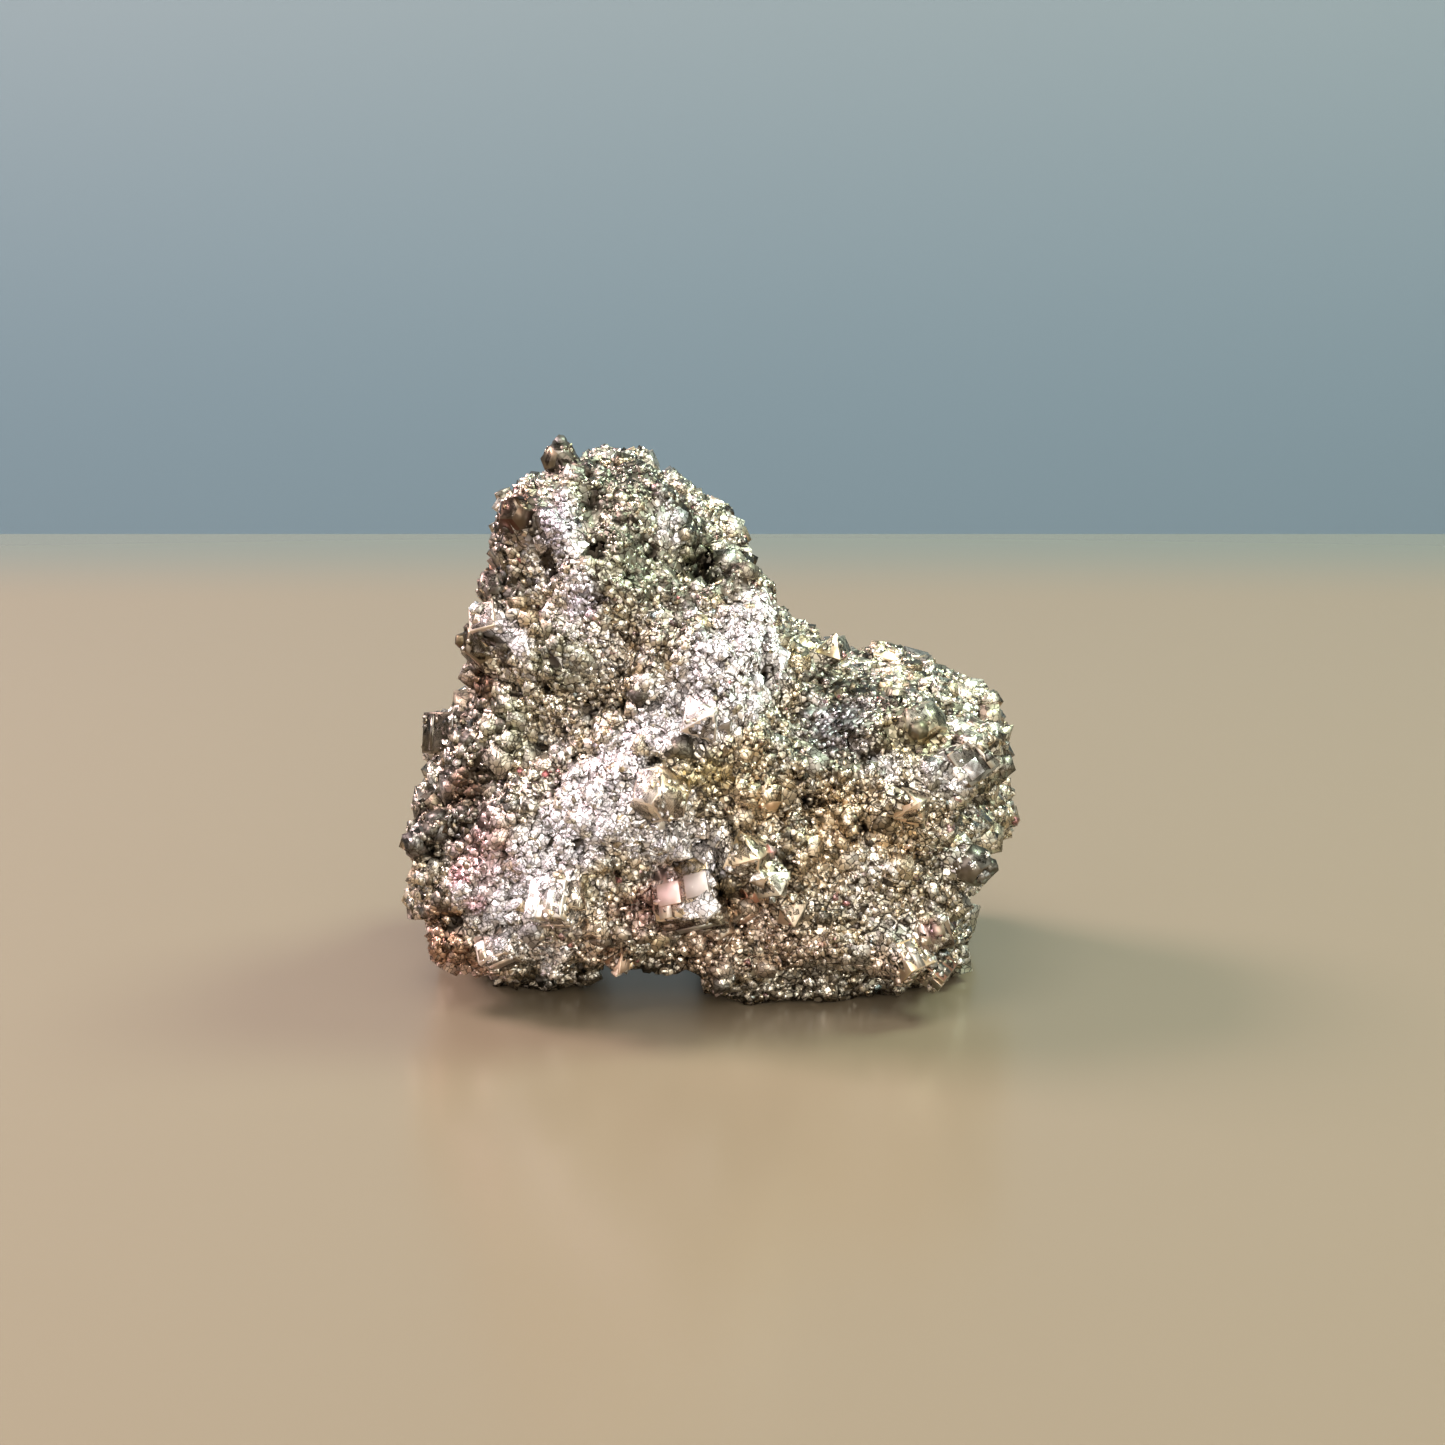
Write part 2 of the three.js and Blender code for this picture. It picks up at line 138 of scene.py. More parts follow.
# Larger crystals: habit, size, the point each grows towards, its turn in degrees, and the share buried.
CRYSTALS = [
    ("pyritohedron", 3.2, (-13.6, 0, 50), (20, 35, 10), 0.42),
    ("pyritohedron", 3.4, (-17.1, -8.8, 46.2), (-40, 2, -144), 0.5),
    ("pyritohedron", 3.4, (-19, -6, 38.5), (50, 10, 15), 0.45),
    ("cube", 2.6, (-18.7, -7.4, 34.9), (49, -27, 93), 0.4),
    ("pyritohedron", 4.6, (-19.5, -5, 32.5), (70, 15, 20), 0.55),
    ("cube", 3.8, (-24, -1, 23), (67, -38, 87), 0.6),
    ("cube", 2.8, (-26, -5, 17), (30, 10, 12), 0.5),
    ("cube", 2.0, (-26.5, -6, 8.5), (12, 22, 35), 0.4),
    ("octahedron", 5.0, (-0.1, -16.5, 28.8), (-14, -30, -149), 0.5),
    ("pyritohedron", 5.4, (-3.8, -16.7, 22), (-35, 10, -144), 0.5),
    ("octahedron", 5.4, (3.6, -16.3, 16.6), (-10, -18, -156), 0.3),
    ("octahedron", 3.8, (5.9, -17.1, 14.3), (24, -32, -69), 0.3),
    ("cube", 5.6, (-1.1, -14.7, 11.6), (53, -18, 97), 0.6),
    ("cube", 3.6, (-13.1, -16.7, 12), (51, -22, 81), 0.45),
    ("cube", 2.4, (4.6, -15, 8.6), (35, 40, 20), 0.4),
    ("pyritohedron", 2.8, (1.8, -15, 6.6), (60, 20, 30), 0.4),
    ("octahedron", 3.4, (7.6, -15, 10.8), (20, 50, 10), 0.35),
    ("cube", 3.0, (-18.3, -13.5, 6.7), (49, -27, 103), 0.45),
    ("cube", 3.6, (23.1, -11.7, 23.3), (62, 15, 128), 0.5),
    ("pyritohedron", 4.4, (20.6, -10, 26.4), (45, 20, 30), 0.5),
    ("octahedron", 4.4, (16.4, -13, 20.2), (60, 12, 30), 0.45),
    ("cube", 3.0, (20.4, -13.7, 8.1), (70, 6, 104), 0.5),
    ("cube", 3.0, (18.4, -15.1, 6.2), (45, 19, 119), 0.5),
    ("cube", 2.6, (20.6, -14.4, 5), (45, 19, 144), 0.5),
    ("pyritohedron", 3.8, (23.1, -11.3, 14.1), (-25, -45, -89), 0.5),
    ("cube", 2.8, (24, -3, 27.6), (32, 40, 20), 0.6),
    ("octahedron", 3.8, (12.9, -1, 31.6), (10, 8, 20), 0.05),
    ("octahedron", 3.0, (-7.6, -14, 5.0), (20, 10, 0), 0.35),
    ("cube", 5.8, (-12, 13, 22), (18, 24, 30), 0.55),
    ("cube", 4.2, (-8.4, 14, 25), (40, 10, 22), 0.5),
    ("pyritohedron", 6.0, (8, 15, 14), (20, 40, 10), 0.5),
    ("octahedron", 5.6, (17, 11, 9), (30, 15, 50), 0.4),
    ("cube", 3.8, (4, 12, 33), (50, 20, 35), 0.5),
    ("pyritohedron", 4.8, (24, 7, 20), (10, 50, 30), 0.5),
    ("cube", 4.6, (-22, 9, 10), (25, 35, 12), 0.5),
    ("octahedron", 5.0, (-16, 8, 40), (15, 30, 25), 0.4),
]

PROUD = 0.4  # how much further out the larger crystals stand here, where lumps and grains rise round them

# The smaller crystals: how many are tried, the share kept at the farthest reach from the heart, their least
# and greatest size, and the share buried. One in a few stands out of the crust as a piece of its own.
SCATTER = SimpleNamespace(tries=130, share=0.8, farthest=33, least=1.9, most=4.2, sink=0.58, one_in=5)

# How far above the floor the middle of a crystal stays, as a share of half its size.
CRYSTAL_FLOOR_GAP = 0.4

# Companions of a crystal: their least and greatest size as a share of its own, how far inwards their size
# draws them, and how much they lean in radians.
COMPANION = SimpleNamespace(share=(0.25, 0.5), inward=0.38, lean=0.03)

# Bars and plates on a cube's faces, as shares of its size: their least and greatest length, width and
# thickness, and the length and width of the field they lie in.
BARS = SimpleNamespace(long=(0.55, 0.97), wide=(0.08, 0.4), thick=(0.015, 0.04), field=(0.97, 0.94))

# Tone, gloss and hue of a large crystal and of a bar: how far chance takes each, and its least.
CRYSTAL_LOOKS = ((0.5, 0.4, 0.9), (0.5, 0.3, 0))
BAR_LOOKS = ((0.5, 0.6, 0.9), (0.5, 0.2, 0))

# How far from its middle a crystal has a say, as a share of its size: the mass rises over it within the
# first, and grains stay small within the second.
OWN_REACH, GRAIN_REACH = 0.9, 0.62

# The crust of grains is made in regions, each about one of these points.
REGIONS = {
    "peak_front": (-10, -9, 42),
    "peak_back": (-10, 9, 42),
    "left_front": (-18, -12, 16),
    "left_back": (-17, 13, 16),
    "middle_front": (1, -15, 18),
    "middle_back": (1, 15, 18),
    "right_front": (20, -11, 16),
    "right_back": (19, 12, 16),
}


def unit(vectors):
    """Each vector divided by its length."""
    return vectors / np.linalg.norm(vectors, axis=-1, keepdims=True)


def chance(i, j, k, n):
    """A number from 0 to 1 for whole numbers i, j, k and n: what is left over the whole part of a large
    multiple of the sine of a weighted sum of them."""
    value = np.sin(i * 127.1 + j * 311.7 + k * 74.7 + n * 53.3) * 43758.5453
    return value - np.floor(value)


def turned(angles):
    """Turning matrices from rows of three angles in radians: about X, then the new Y, then the new Z."""
    (cx, cy, cz), (sx, sy, sz) = np.cos(angles).T, np.sin(angles).T
    rows = [
        [cy * cz, -cy * sz, sy],
        [cx * sz + sx * cz * sy, cx * cz - sx * sz * sy, -sx * cy],
        [sx * sz - cx * cz * sy, sx * cz + cx * sz * sy, cx * cy],
    ]
    return np.moveaxis(np.array(rows), -1, 0)


def plain_surface(directions):
    """The lump without relief: in each plane through the heart's Y axis, a superellipse whose half-axes are
    the outline's reach on that bearing and the depth."""
    outline = OUTLINE - HEART[[0, 2]]
    bearings, reaches = np.arctan2(outline[:, 1], outline[:, 0]), np.hypot(*outline.T) - CRUST
    bearing = np.arctan2(directions[:, 2], directions[:, 0])
    reach = np.interp(bearing, bearings, reaches, period=2 * np.pi)
    across = np.hypot(directions[:, 0], directions[:, 2]) / reach
    along = np.abs(directions[:, 1]) / np.where(directions[:, 1] < 0, FRONT_DEPTH, BACK_DEPTH)
    rising = np.clip((directions[:, 2] - FULLNESS.start) / FULLNESS.span, 0, 1)
    rising = rising * rising * (3 - 2 * rising)
    fullness = FULLNESS.lower + (FULLNESS.upper - FULLNESS.lower) * rising
    return HEART + directions * ((across**fullness + along**fullness) ** (-1 / fullness))[:, None]


def gap_to_path(points, path):
    """How far each point is from the nearest of the straight lines that join a path's points."""
    starts = path[:-1] if len(path) > 1 else path
    ends = path[1:] if len(path) > 1 else path
    nearest = np.full(len(points), np.inf)
    for start, end in zip(starts, ends):
        line = end - start
        share = np.clip((points - start) @ line / max(line @ line, 1e-9), 0, 1)
        nearest = np.minimum(nearest, np.linalg.norm(points - start - share[:, None] * line, axis=1))
    return nearest


def relief(points):
    """The rise of all swells and hollows: each is a bell curve of the distance to its path on the surface."""
    total = np.zeros(len(points))
    for path, width, rise in RELIEF:
        on_surface = plain_surface(unit(np.array(path, float) - HEART))
        total += rise * np.exp(-((gap_to_path(points, on_surface) / width) ** 2))
    return total


def lumps(points, pitch, seed):
    """How high each point is on its nearest angular lump, as 1 less a distance. Space is cut into cells with
    one lump each, off the cell's middle and turned its own way, and the distance is the largest of the three
    along the lump's own axes, so that each lump has six flat sides."""
    cell = np.floor(points / pitch)
    nearest = np.full(len(points), np.inf)
    for step in np.ndindex(3, 3, 3):
        corner = (cell + np.array(step) - 1).T
        middle = np.stack([corner[a] + chance(*corner, seed * 6 + a) for a in range(3)], 1) * pitch
        angles = np.stack([np.pi * chance(*corner, seed * 6 + 3 + a) for a in range(3)], 1)
        offset = np.einsum("nij,nj->ni", turned(angles), points - middle)
        nearest = np.minimum(nearest, np.abs(offset).max(1))
    return 1 - nearest / pitch


def layered(points, layers):
    """The rise of layers of angular lumps together, above or below their level."""
    return sum(rise * (lumps(points, pitch, seed) - LUMP_LEVEL) for pitch, rise, seed in layers)


def surface(directions):
    """The plain lump with its relief and the coarse lumps added along the same directions."""
    plain = plain_surface(directions)
    height = relief(plain) + layered(plain, COARSE_LUMPS)
    return plain + directions * height[:, None]


def crystal_middles(crystals):
    """The middle of each crystal: out from the surface by half its size less its buried share."""
    _, size, directions, _, sink = crystals
    return surface(directions) + directions * (size * (0.5 - sink))[:, None]


def with_crystals(points, directions, crystals):
    """The surface carried out over a set of crystals. Along each direction a crystal is left where the first
    of its planes is met from inside, and it is there at all only if no plane is met from outside later."""
    reach = np.linalg.norm(points - HEART, axis=1)
    for habit, size, toward, turn, sink in zip(*crystals):
        middle = (surface(toward[None]) + toward * size * (0.5 - sink))[0] - HEART
        widest = math.cos(OWN_REACH * size / np.linalg.norm(middle))
        near = np.flatnonzero(directions @ unit(middle) > widest)
        matrix = turned(np.radians(turn)[None])[0]
        planes, distance = FORM_PLANES[habit]
        normals = planes @ matrix.T
        rate = directions[near] @ normals.T
        gap = distance * size + normals @ middle
        with np.errstate(divide="ignore", invalid="ignore"):
            meets = gap / rate
        leaves = np.where(rate > 1e-9, meets, np.inf).min(1)
        enters = np.where(rate < -1e-9, meets, -np.inf).max(1)
        reach[near] = np.where((enters < leaves) & (leaves > reach[near]), leaves, reach[near])
    return HEART + directions * reach[:, None]


def spiral(count):
    """Whole numbers from 0 and, for each, a direction on a golden-angle spiral from the top to the bottom."""
    number = np.arange(count)
    up = 1 - (2 * number + 1) / count
    bearing, flat = number * math.pi * (3 - math.sqrt(5)), np.sqrt(1 - up * up)
    return number, np.stack([flat * np.cos(bearing), flat * np.sin(bearing), up], 1)


def pits(points):
    """The sinking of many small pits, each a bell curve about a point on the plain lump."""
    number, directions = spiral(PITS.tries)
    stray = np.stack([chance(number, 5, axis, 0) for axis in range(3)], 1) - 0.5
    directions = unit(directions + PITS.stray * stray)
    middles = plain_surface(directions)
    reach = np.linalg.norm(middles - HEART, axis=1)
    kept = chance(number, 6, 0, 0) < (reach / SCATTER.farthest) ** 2
    widths = np.interp(chance(number, 7, 0, 0), (0, 1), PITS.width)
    depths = np.interp(chance(number, 8, 0, 0), (0, 1), PITS.depth)
    total = np.zeros(len(points))
    for middle, width, depth in zip(middles[kept], widths[kept], depths[kept]):
        gap = ((points - middle) ** 2).sum(1)
        total -= depth * np.exp(-gap / width**2)
    return total


def in_arch(places, margin):
    """Whether each place is in the arch or within a margin of it."""
    x, y, z = places.T
    ceiling = ARCH.height + ARCH.slope * (y - ARCH.front)
    return (x > ARCH.left - margin) & (x < ARCH.right + margin) & (z < ceiling + margin)


def standing(points, directions):
    """The surface cut off at the base. A direction that passes the base, or the arch's ceiling inside the
    arch's sides, stops there. Both are uneven: their height is the rise of small angular lumps."""
    down = np.minimum(directions[:, 2], -1e-6)
    reach = np.linalg.norm(points - HEART, axis=1)
    level = (HEART + directions * (-HEART[2] / down)[:, None]) * (1, 1, 0)
    rough = np.clip(lumps(level, UNDERSIDE.pitch, UNDERSIDE.seed) - UNDERSIDE.level, 0, 1) * UNDERSIDE.rise
    base = (rough - HEART[2]) / down
    height = ARCH.height - CEILING_SAG + rough - ARCH.front * ARCH.slope
    ceiling = (height - HEART[2]) / (down - ARCH.slope * directions[:, 1])
    wander = layered(level, [(ARCH_SIDES.pitch, ARCH_SIDES.wander, ARCH_SIDES.seed)])
    x = HEART[0] + directions[:, 0] * ceiling
    inside = (x > ARCH.left + wander) & (x < ARCH.right - wander) & (ceiling > 0) & (ceiling < base)
    lowest = np.where(directions[:, 2] < -1e-3, np.where(inside, ceiling, base), np.inf)
    return HEART + directions * np.minimum(reach, lowest)[:, None]


# ---------------------------------------------------------------------------------------------------------
# Crystal forms
# ---------------------------------------------------------------------------------------------------------


def family(*indices):
    """All planes of one kind: the given index triples with every choice of signs, as unit normals."""
    signs = np.array(list(np.ndindex(2, 2, 2))) * 2 - 1
    planes = np.concatenate([signs * np.array(index) for index in indices])
    return unit(np.unique(planes, axis=0).astype(float))


CUBE = family((1, 0, 0), (0, 1, 0), (0, 0, 1))
OCTAHEDRON = family((1, 1, 1))
DODECAHEDRON = family((1, 1, 0), (0, 1, 1), (1, 0, 1))
PYRITOHEDRON = family((2, 1, 0), (0, 2, 1), (1, 0, 2))


def convex_form(*kinds):
    """A convex crystal bounded by kinds of planes, each kind with its distance from the middle. A corner is
    where three planes meet and no other cuts it off, and a face is the ring of corners on one plane."""
    normals = np.concatenate([planes for planes, _ in kinds])
    distances = np.concatenate([np.full(len(planes), distance) for planes, distance in kinds])
    threes = np.array(list(combinations(range(len(normals)), 3)))
    threes = threes[np.abs(np.linalg.det(normals[threes])) > 1e-6]
    meets = np.linalg.solve(normals[threes], distances[threes][..., None])[..., 0]
    meets = meets[(meets @ normals.T <= distances + 1e-7).all(1)]
    corners = np.unique(meets.round(6), axis=0)
    rings = []
    for normal, distance in zip(normals, distances):
        on_plane = np.flatnonzero(np.abs(corners @ normal - distance) < 1e-5)
        if len(on_plane) < 3:
            continue
        flat = corners[on_plane] - corners[on_plane].mean(0)
        first = unit(flat[0])
        around = np.arctan2(flat @ np.cross(normal, first), flat @ first)
        rings.append(on_plane[np.argsort(around)])
    sides = np.array([len(ring) for ring in rings])
    return SimpleNamespace(corners=corners, loops=np.concatenate(rings), sides=sides)


ROOT2, ROOT3, ROOT5 = math.sqrt(2), math.sqrt(3), math.sqrt(5)

# Each habit's planes and how far they are from its middle, for a crystal of size 1.
FORM_PLANES = {
    "cube": (CUBE, 0.5),
    "octahedron": (OCTAHEDRON, 0.5 / ROOT3),
    "pyritohedron": (PYRITOHEDRON, 1 / ROOT5),
}
PLAIN_FORMS = {habit: convex_form(planes) for habit, planes in FORM_PLANES.items()}

# The planes that cut the edges and corners off each habit's large crystals.
EDGE_PLANES = {
    "cube": [(DODECAHEDRON, 0.5 * ROOT2 * 0.975)],
    "octahedron": [(CUBE, 0.48), (DODECAHEDRON, 0.5 / ROOT2 * 0.985)],
    "pyritohedron": [(CUBE, 0.49), (OCTAHEDRON, 0.57)],
}
EDGED_FORMS = {habit: convex_form(planes, *EDGE_PLANES[habit]) for habit, planes in FORM_PLANES.items()}


def merged(parts):
    """One set of corners, face rings, numbers of sides and per-corner values from many sets of copies of
    crystal forms. Each set has its form, and for each copy a turning matrix, a size along each of its own
    axes, a place, and its values: tone, gloss and hue from 0 to 1, then how bright, then the way it faces.
    Nothing goes under the floor."""
    corners, loops, sides, values, first = [], [], [], [], 0
    for form, turns, sizes, places, looks in parts:
        copies, size = len(places), len(form.corners)
        shaped = turns * sizes[:, None, :]
        corners.append((np.einsum("nij,cj->nci", shaped, form.corners) + places[:, None]).reshape(-1, 3))
        corners[-1][:, 2] = np.maximum(corners[-1][:, 2], 0)
        starts = first + size * np.arange(copies)
        loops.append((form.loops + starts[:, None]).ravel())
        sides.append(np.tile(form.sides, copies))
        values.append(np.repeat(looks, size, axis=0))
        first += size * copies
    return np.concatenate(corners), np.concatenate(loops), np.concatenate(sides), np.concatenate(values)


# ---------------------------------------------------------------------------------------------------------
# Meshes
# ---------------------------------------------------------------------------------------------------------


def mesh_piece(name, corners, loops, sides, material, looks, bake_map, films=None):
    """A mesh object at the origin from corners in millimetres, the rings of its faces one after another, how
    many corners each face has, values for each corner, a flat map of the faces' corners, and optional values
    for each face."""
    mesh = bpy.data.meshes.new(name)
    mesh.vertices.add(len(corners))
    mesh.vertices.foreach_set("co", ((corners + TO_FRAME) / 1000).astype(np.float32).ravel())
    mesh.loops.add(len(loops))
    mesh.loops.foreach_set("vertex_index", loops.astype(np.int32))
    mesh.polygons.add(len(sides))
    mesh.polygons.foreach_set("loop_start", (np.cumsum(sides) - sides).astype(np.int32))
    mesh.polygons.foreach_set("loop_total", sides.astype(np.int32))
    for key, values in zip(("tone", "gloss", "hue", "bright"), looks.T):
        mesh.attributes.new(key, "FLOAT", "POINT").data.foreach_set("value", values.astype(np.float32))
    if looks.shape[1] > 4:
        way = mesh.attributes.new("way", "FLOAT_VECTOR", "POINT")
        way.data.foreach_set("vector", looks[:, 4:].astype(np.float32).ravel())
    if films is not None:
        mesh.attributes.new("film", "FLOAT", "FACE").data.foreach_set("value", films.astype(np.float32))
    mesh.update(calc_edges=True)
    mesh.validate()
    layer = mesh.uv_layers.new(name="OFBake", do_init=False)
    layer.uv.foreach_set("vector", bake_map.astype(np.float32).ravel())
    mesh.materials.append(material)
    piece = bpy.data.objects.new(name, mesh)
    bpy.context.scene.collection.objects.link(piece)
    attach(piece, "root")
    return piece


MAP_FILL = 0.98  # how much of its own square each of the mass's grids fills on its flat map
COPY_FILL = 0.42  # the radius of each copy's faces on the flat map, as a share of its own square


def box_grid(cells):
    """A cube's surface as six square grids that share their edge points. Returns the points as whole numbers
    from 0 to cells, the faces' rings, and a map that lays the six grids out in two rows of three, each a
    little inside its own square."""
    step = np.arange(cells)
    i, j = (axis.ravel() for axis in np.meshgrid(step, step, indexing="ij"))
    ring_i = np.stack([i, i + 1, i + 1, i], 1)
    ring_j = np.stack([j, j, j + 1, j + 1], 1)
    points, places = [], []
    for side in range(6):
        axis, high = side % 3, side < 3
        face = np.zeros((*ring_i.shape, 3), int)
        face[..., (axis + 1) % 3], face[..., (axis + 2) % 3] = ring_i, ring_j
        face[..., axis] = cells * high
        place = np.stack([ring_i / cells, ring_j / cells], -1) * MAP_FILL + (1 - MAP_FILL) / 2
        place = (place + (side % 3, side // 3)) / (3, 2)
        turn = slice(None) if high else slice(None, None, -1)
        points.append(face[:, turn].reshape(-1, 3))
        places.append(place[:, turn].reshape(-1, 2))
    corners, loops = np.unique(np.concatenate(points), axis=0, return_inverse=True)
    return corners, loops.ravel(), np.concatenate(places)


def mass_mesh(cells):
    """The mass on a grid over the surface of a cube round the heart. The grid's lines are spread by the
    tangent of their angle, so that its cells are even. Also tells how hollow each point is and whether it is
    bare crystal."""
    corners, loops, places = box_grid(cells)
    directions = unit(np.tan((corners / cells * 2 - 1) * np.pi / 4))
    points = with_crystals(surface(directions), directions, spiral_crystals())
    plain = plain_surface(directions)
    skin = layered(plain, SKIN_LUMPS)
    sunk = pits(plain)
    rough = points + directions * (skin + sunk)[:, None]
    points = with_crystals(rough, directions, placed_crystals())
    bare = np.linalg.norm(points - rough, axis=1) > BARE_RISE
    points = standing(points, directions)
    # How hollow each point is: the metals paint shade into the hollows by it.
    hollow = np.clip(-sunk / HOLLOW.depth - HOLLOW.skin_share * (skin + HOLLOW.skin_level), 0, 1)
    hollow = np.where(bare, 0, hollow)
    return SimpleNamespace(points=points, loops=loops, places=places, hollow=hollow, bare=bare)


def spiral_crystals():
    """Smaller crystals in directions on a spiral, thinned out where the surface is near the heart. Returns
    for each its habit, size, direction, turn and buried share."""
    number, directions = spiral(SCATTER.tries)
    reach = np.linalg.norm(plain_surface(directions) - HEART, axis=1)
    kept = chance(number, 4, 0, 0) < SCATTER.share * (reach / SCATTER.farthest) ** 2
    habits = np.array(["cube", "cube", "pyritohedron", "octahedron"])
    habit = habits[np.floor(chance(number, 1, 0, 0) * 4).astype(int)]
    size = SCATTER.least + (SCATTER.most - SCATTER.least) * chance(number, 2, 0, 0) ** 2
    turn = 90 * np.stack([chance(number, 3, axis, 0) for axis in range(3)], 1)
    return habit[kept], size[kept], directions[kept], turn[kept], np.full(kept.sum(), SCATTER.sink)


def clear_of_floor(parts):
    """The same sets of copies without those that lie under the floor or in the arch."""
    cleared = []
    for form, turns, sizes, places, looks in parts:
        half = sizes.max(1) / 2
        kept = (places[:, 2] > CRYSTAL_FLOOR_GAP * half) & ~in_arch(places, half)
        cleared.append((form, turns[kept], sizes[kept], places[kept], looks[kept]))
    return cleared


def placed_crystals():
    """The larger crystals as habits, sizes, directions, turns and buried shares."""
    habit, size, toward, turn, sink = zip(*CRYSTALS)
    directions, size = unit(np.array(toward, float) - HEART), np.array(size, float)
    return np.array(habit), size, directions, np.array(turn, float), np.array(sink) - PROUD / size


def marked(parts):
    """The same sets of copies, darker under the dark marks, partly a duller tone and partly painted shade,
    and with the painted highlight's brightness added to their values."""
    done = []
    for form, turns, sizes, places, looks in parts:
        tone = (1 - CRYSTAL_DARKENING * dullness_and_shade(places)) ** 2
        bright = CRYSTAL_BRIGHTENING * brightness(places)[0]
        looks = np.column_stack([looks[:, 0] * tone, looks[:, 1:], bright])
        done.append((form, turns, sizes, places, looks))
    return done


def beside_crystals(places):
    """Whether each place is on or close beside one of the larger crystals."""
    crystals = placed_crystals()
    gap = np.linalg.norm(places[:, None] - crystal_middles(crystals), axis=2)
    return (gap < GRAIN_REACH * crystals[1]).any(1)


def grown(crystals, random, companions):
    """Sets of copies for crystals and the smaller ones grown parallel to each. A companion has its crystal's
    habit and almost its turn, is a share of its size, and lies part way out along one of its axes."""
    habit, size, _, turn, _ = crystals
    middle = crystal_middles(crystals)
    matrix = turned(np.radians(turn))
    spread, least = CRYSTAL_LOOKS
    parts = []
    for kind, form in EDGED_FORMS.items():
        own = habit == kind
        count = own.sum()
        looks = random.random((count, 3)) * spread + least
        parts.append((form, matrix[own], np.repeat(size[own, None], 3, 1), middle[own], looks))
        for _ in range(companions):
            share = random.uniform(*COMPANION.share, (count, 1))
            way = random.normal(size=(count, 3))
            way = way / np.abs(way).max(1, keepdims=True) * (0.5 - share * COMPANION.inward)
            place = middle[own] + np.einsum("nij,nj->ni", matrix[own], way) * size[own, None]
            tilt = turned(random.normal(0, COMPANION.lean, (count, 3)))
            looks = random.random((count, 3))
            parts.append((form, matrix[own] @ tilt, np.repeat(size[own, None] * share, 3, 1), place, looks))
    return parts


def growth_steps(crystals, random, steps):
    """Sets of copies for the thin bars and plates that stand a little proud of each cube's faces. On each
    face they run one way only, and across it on the next face."""
    habit, size, _, turn, _ = crystals
    own = habit == "cube"
    middle, matrix, size = crystal_middles(crystals)[own], turned(np.radians(turn))[own], size[own]
    count = len(size)
    spread, least = BAR_LOOKS
    parts = []
    for axis, side, _ in product(range(3), (-1, 1), range(steps)):
        bars, offset = np.zeros((count, 3)), np.zeros((count, 3))
        long, wide = (axis + 1) % 3, (axis + 2) % 3
        bars[:, long] = random.uniform(*BARS.long, count)
        bars[:, wide] = random.uniform(*BARS.wide, count)
        bars[:, axis] = random.uniform(*BARS.thick, count)
        offset[:, long] = random.uniform(-0.5, 0.5, count) * (BARS.field[0] - bars[:, long])
        offset[:, wide] = random.uniform(-0.5, 0.5, count) * (BARS.field[1] - bars[:, wide])
        offset[:, axis] = side * 0.5
        place = middle + np.einsum("nij,nj->ni", matrix, offset) * size[:, None]
        looks = random.random((count, 3)) * spread + least
        parts.append((PLAIN_FORMS["cube"], matrix, bars * size[:, None], place, looks))
    return parts


# The grains. Lengths are in millimetres, and shares are from 0 to 1.
GRAINS = SimpleNamespace(
    lowest=0.6,  # none grow on the mass lower than this
    on_crystals=0.25,  # how densely they grow on bare crystal, against 1 elsewhere
    thinning=0.8,  # how much fewer grow in a hollow
    variety=0.32,  # spread of their sizes, as of the size's logarithm
    larger=2.2,  # how much larger the large ones are
    least=0.26,
    most=2.2,
    most_beside=0.5,  # the greatest beside a larger crystal
    stretch=0.16,  # how unlike a grain's three widths are
    any_way=5.0,  # the lean of a stray grain
    common_lean=0.13,  # the lean where the crust faces one way
    sunk=(-0.5, -0.28),  # how far a grain's middle is from the surface, in its own size
    floor_gap=0.85,  # how far its middle stays above the floor, in its own size
    arch_gap=0.4,  # and from the arch
    # Grains in a hollow are darker, as painted shade.
    hollow_shading=0.85,  # how much darker grains are in a hollow
    # Under the dark marks grains are darker: partly a duller tone, partly painted shade.
    darkening=0.93,  # and where the crust is dull
    in_marks=0.88,  # the share of grains that take part in the bright marks
    fading=0.4,  # how much of the bright marks chance takes away
    plain_above=0.9,  # grains larger than this are of a plain hue,
    plain_hue=0.9,  # which is one up to this
)

# The habits of the grains: the share of each, and how much wider it is made, so that all look one size.
GRAIN_HABITS = {"cube": (0.65, 1), "octahedron": (0.32, 1.45), "pyritohedron": (0.03, 1)}

# How much darker the crystals and the mass are under the dark marks, partly a duller tone and partly painted
# shade, and how much painted highlight the crystals take in the bright marks.
CRYSTAL_DARKENING, CRYSTAL_BRIGHTENING = 0.95, 0.5
MASS_DARKENING = 0.8

# How large the grains are about some places: the place, how far its say reaches, and the size as a factor.
# Everywhere else has a little say too, for a factor of 1.
GRAIN_ZONES = [
    ((-10, -10, 43), 9, 0.72),
    ((-3, -12, 33), 8, 0.85),
    ((-18, -8, 38), 5, 1.5),
    ((-24, -8, 16), 6, 1.3),
    ((-16, -13, 14), 6, 0.9),
    ((-20, -10, 5), 7, 1.35),
    ((0, -15, 12), 6, 1.2),
    ((12, -13, 27), 6, 0.8),
    ((14, -14, 16), 6, 1.2),
    ((24, -8, 20), 6, 1.5),
    ((14, -14, 6), 7, 0.8),
]
ELSEWHERE = 0.15
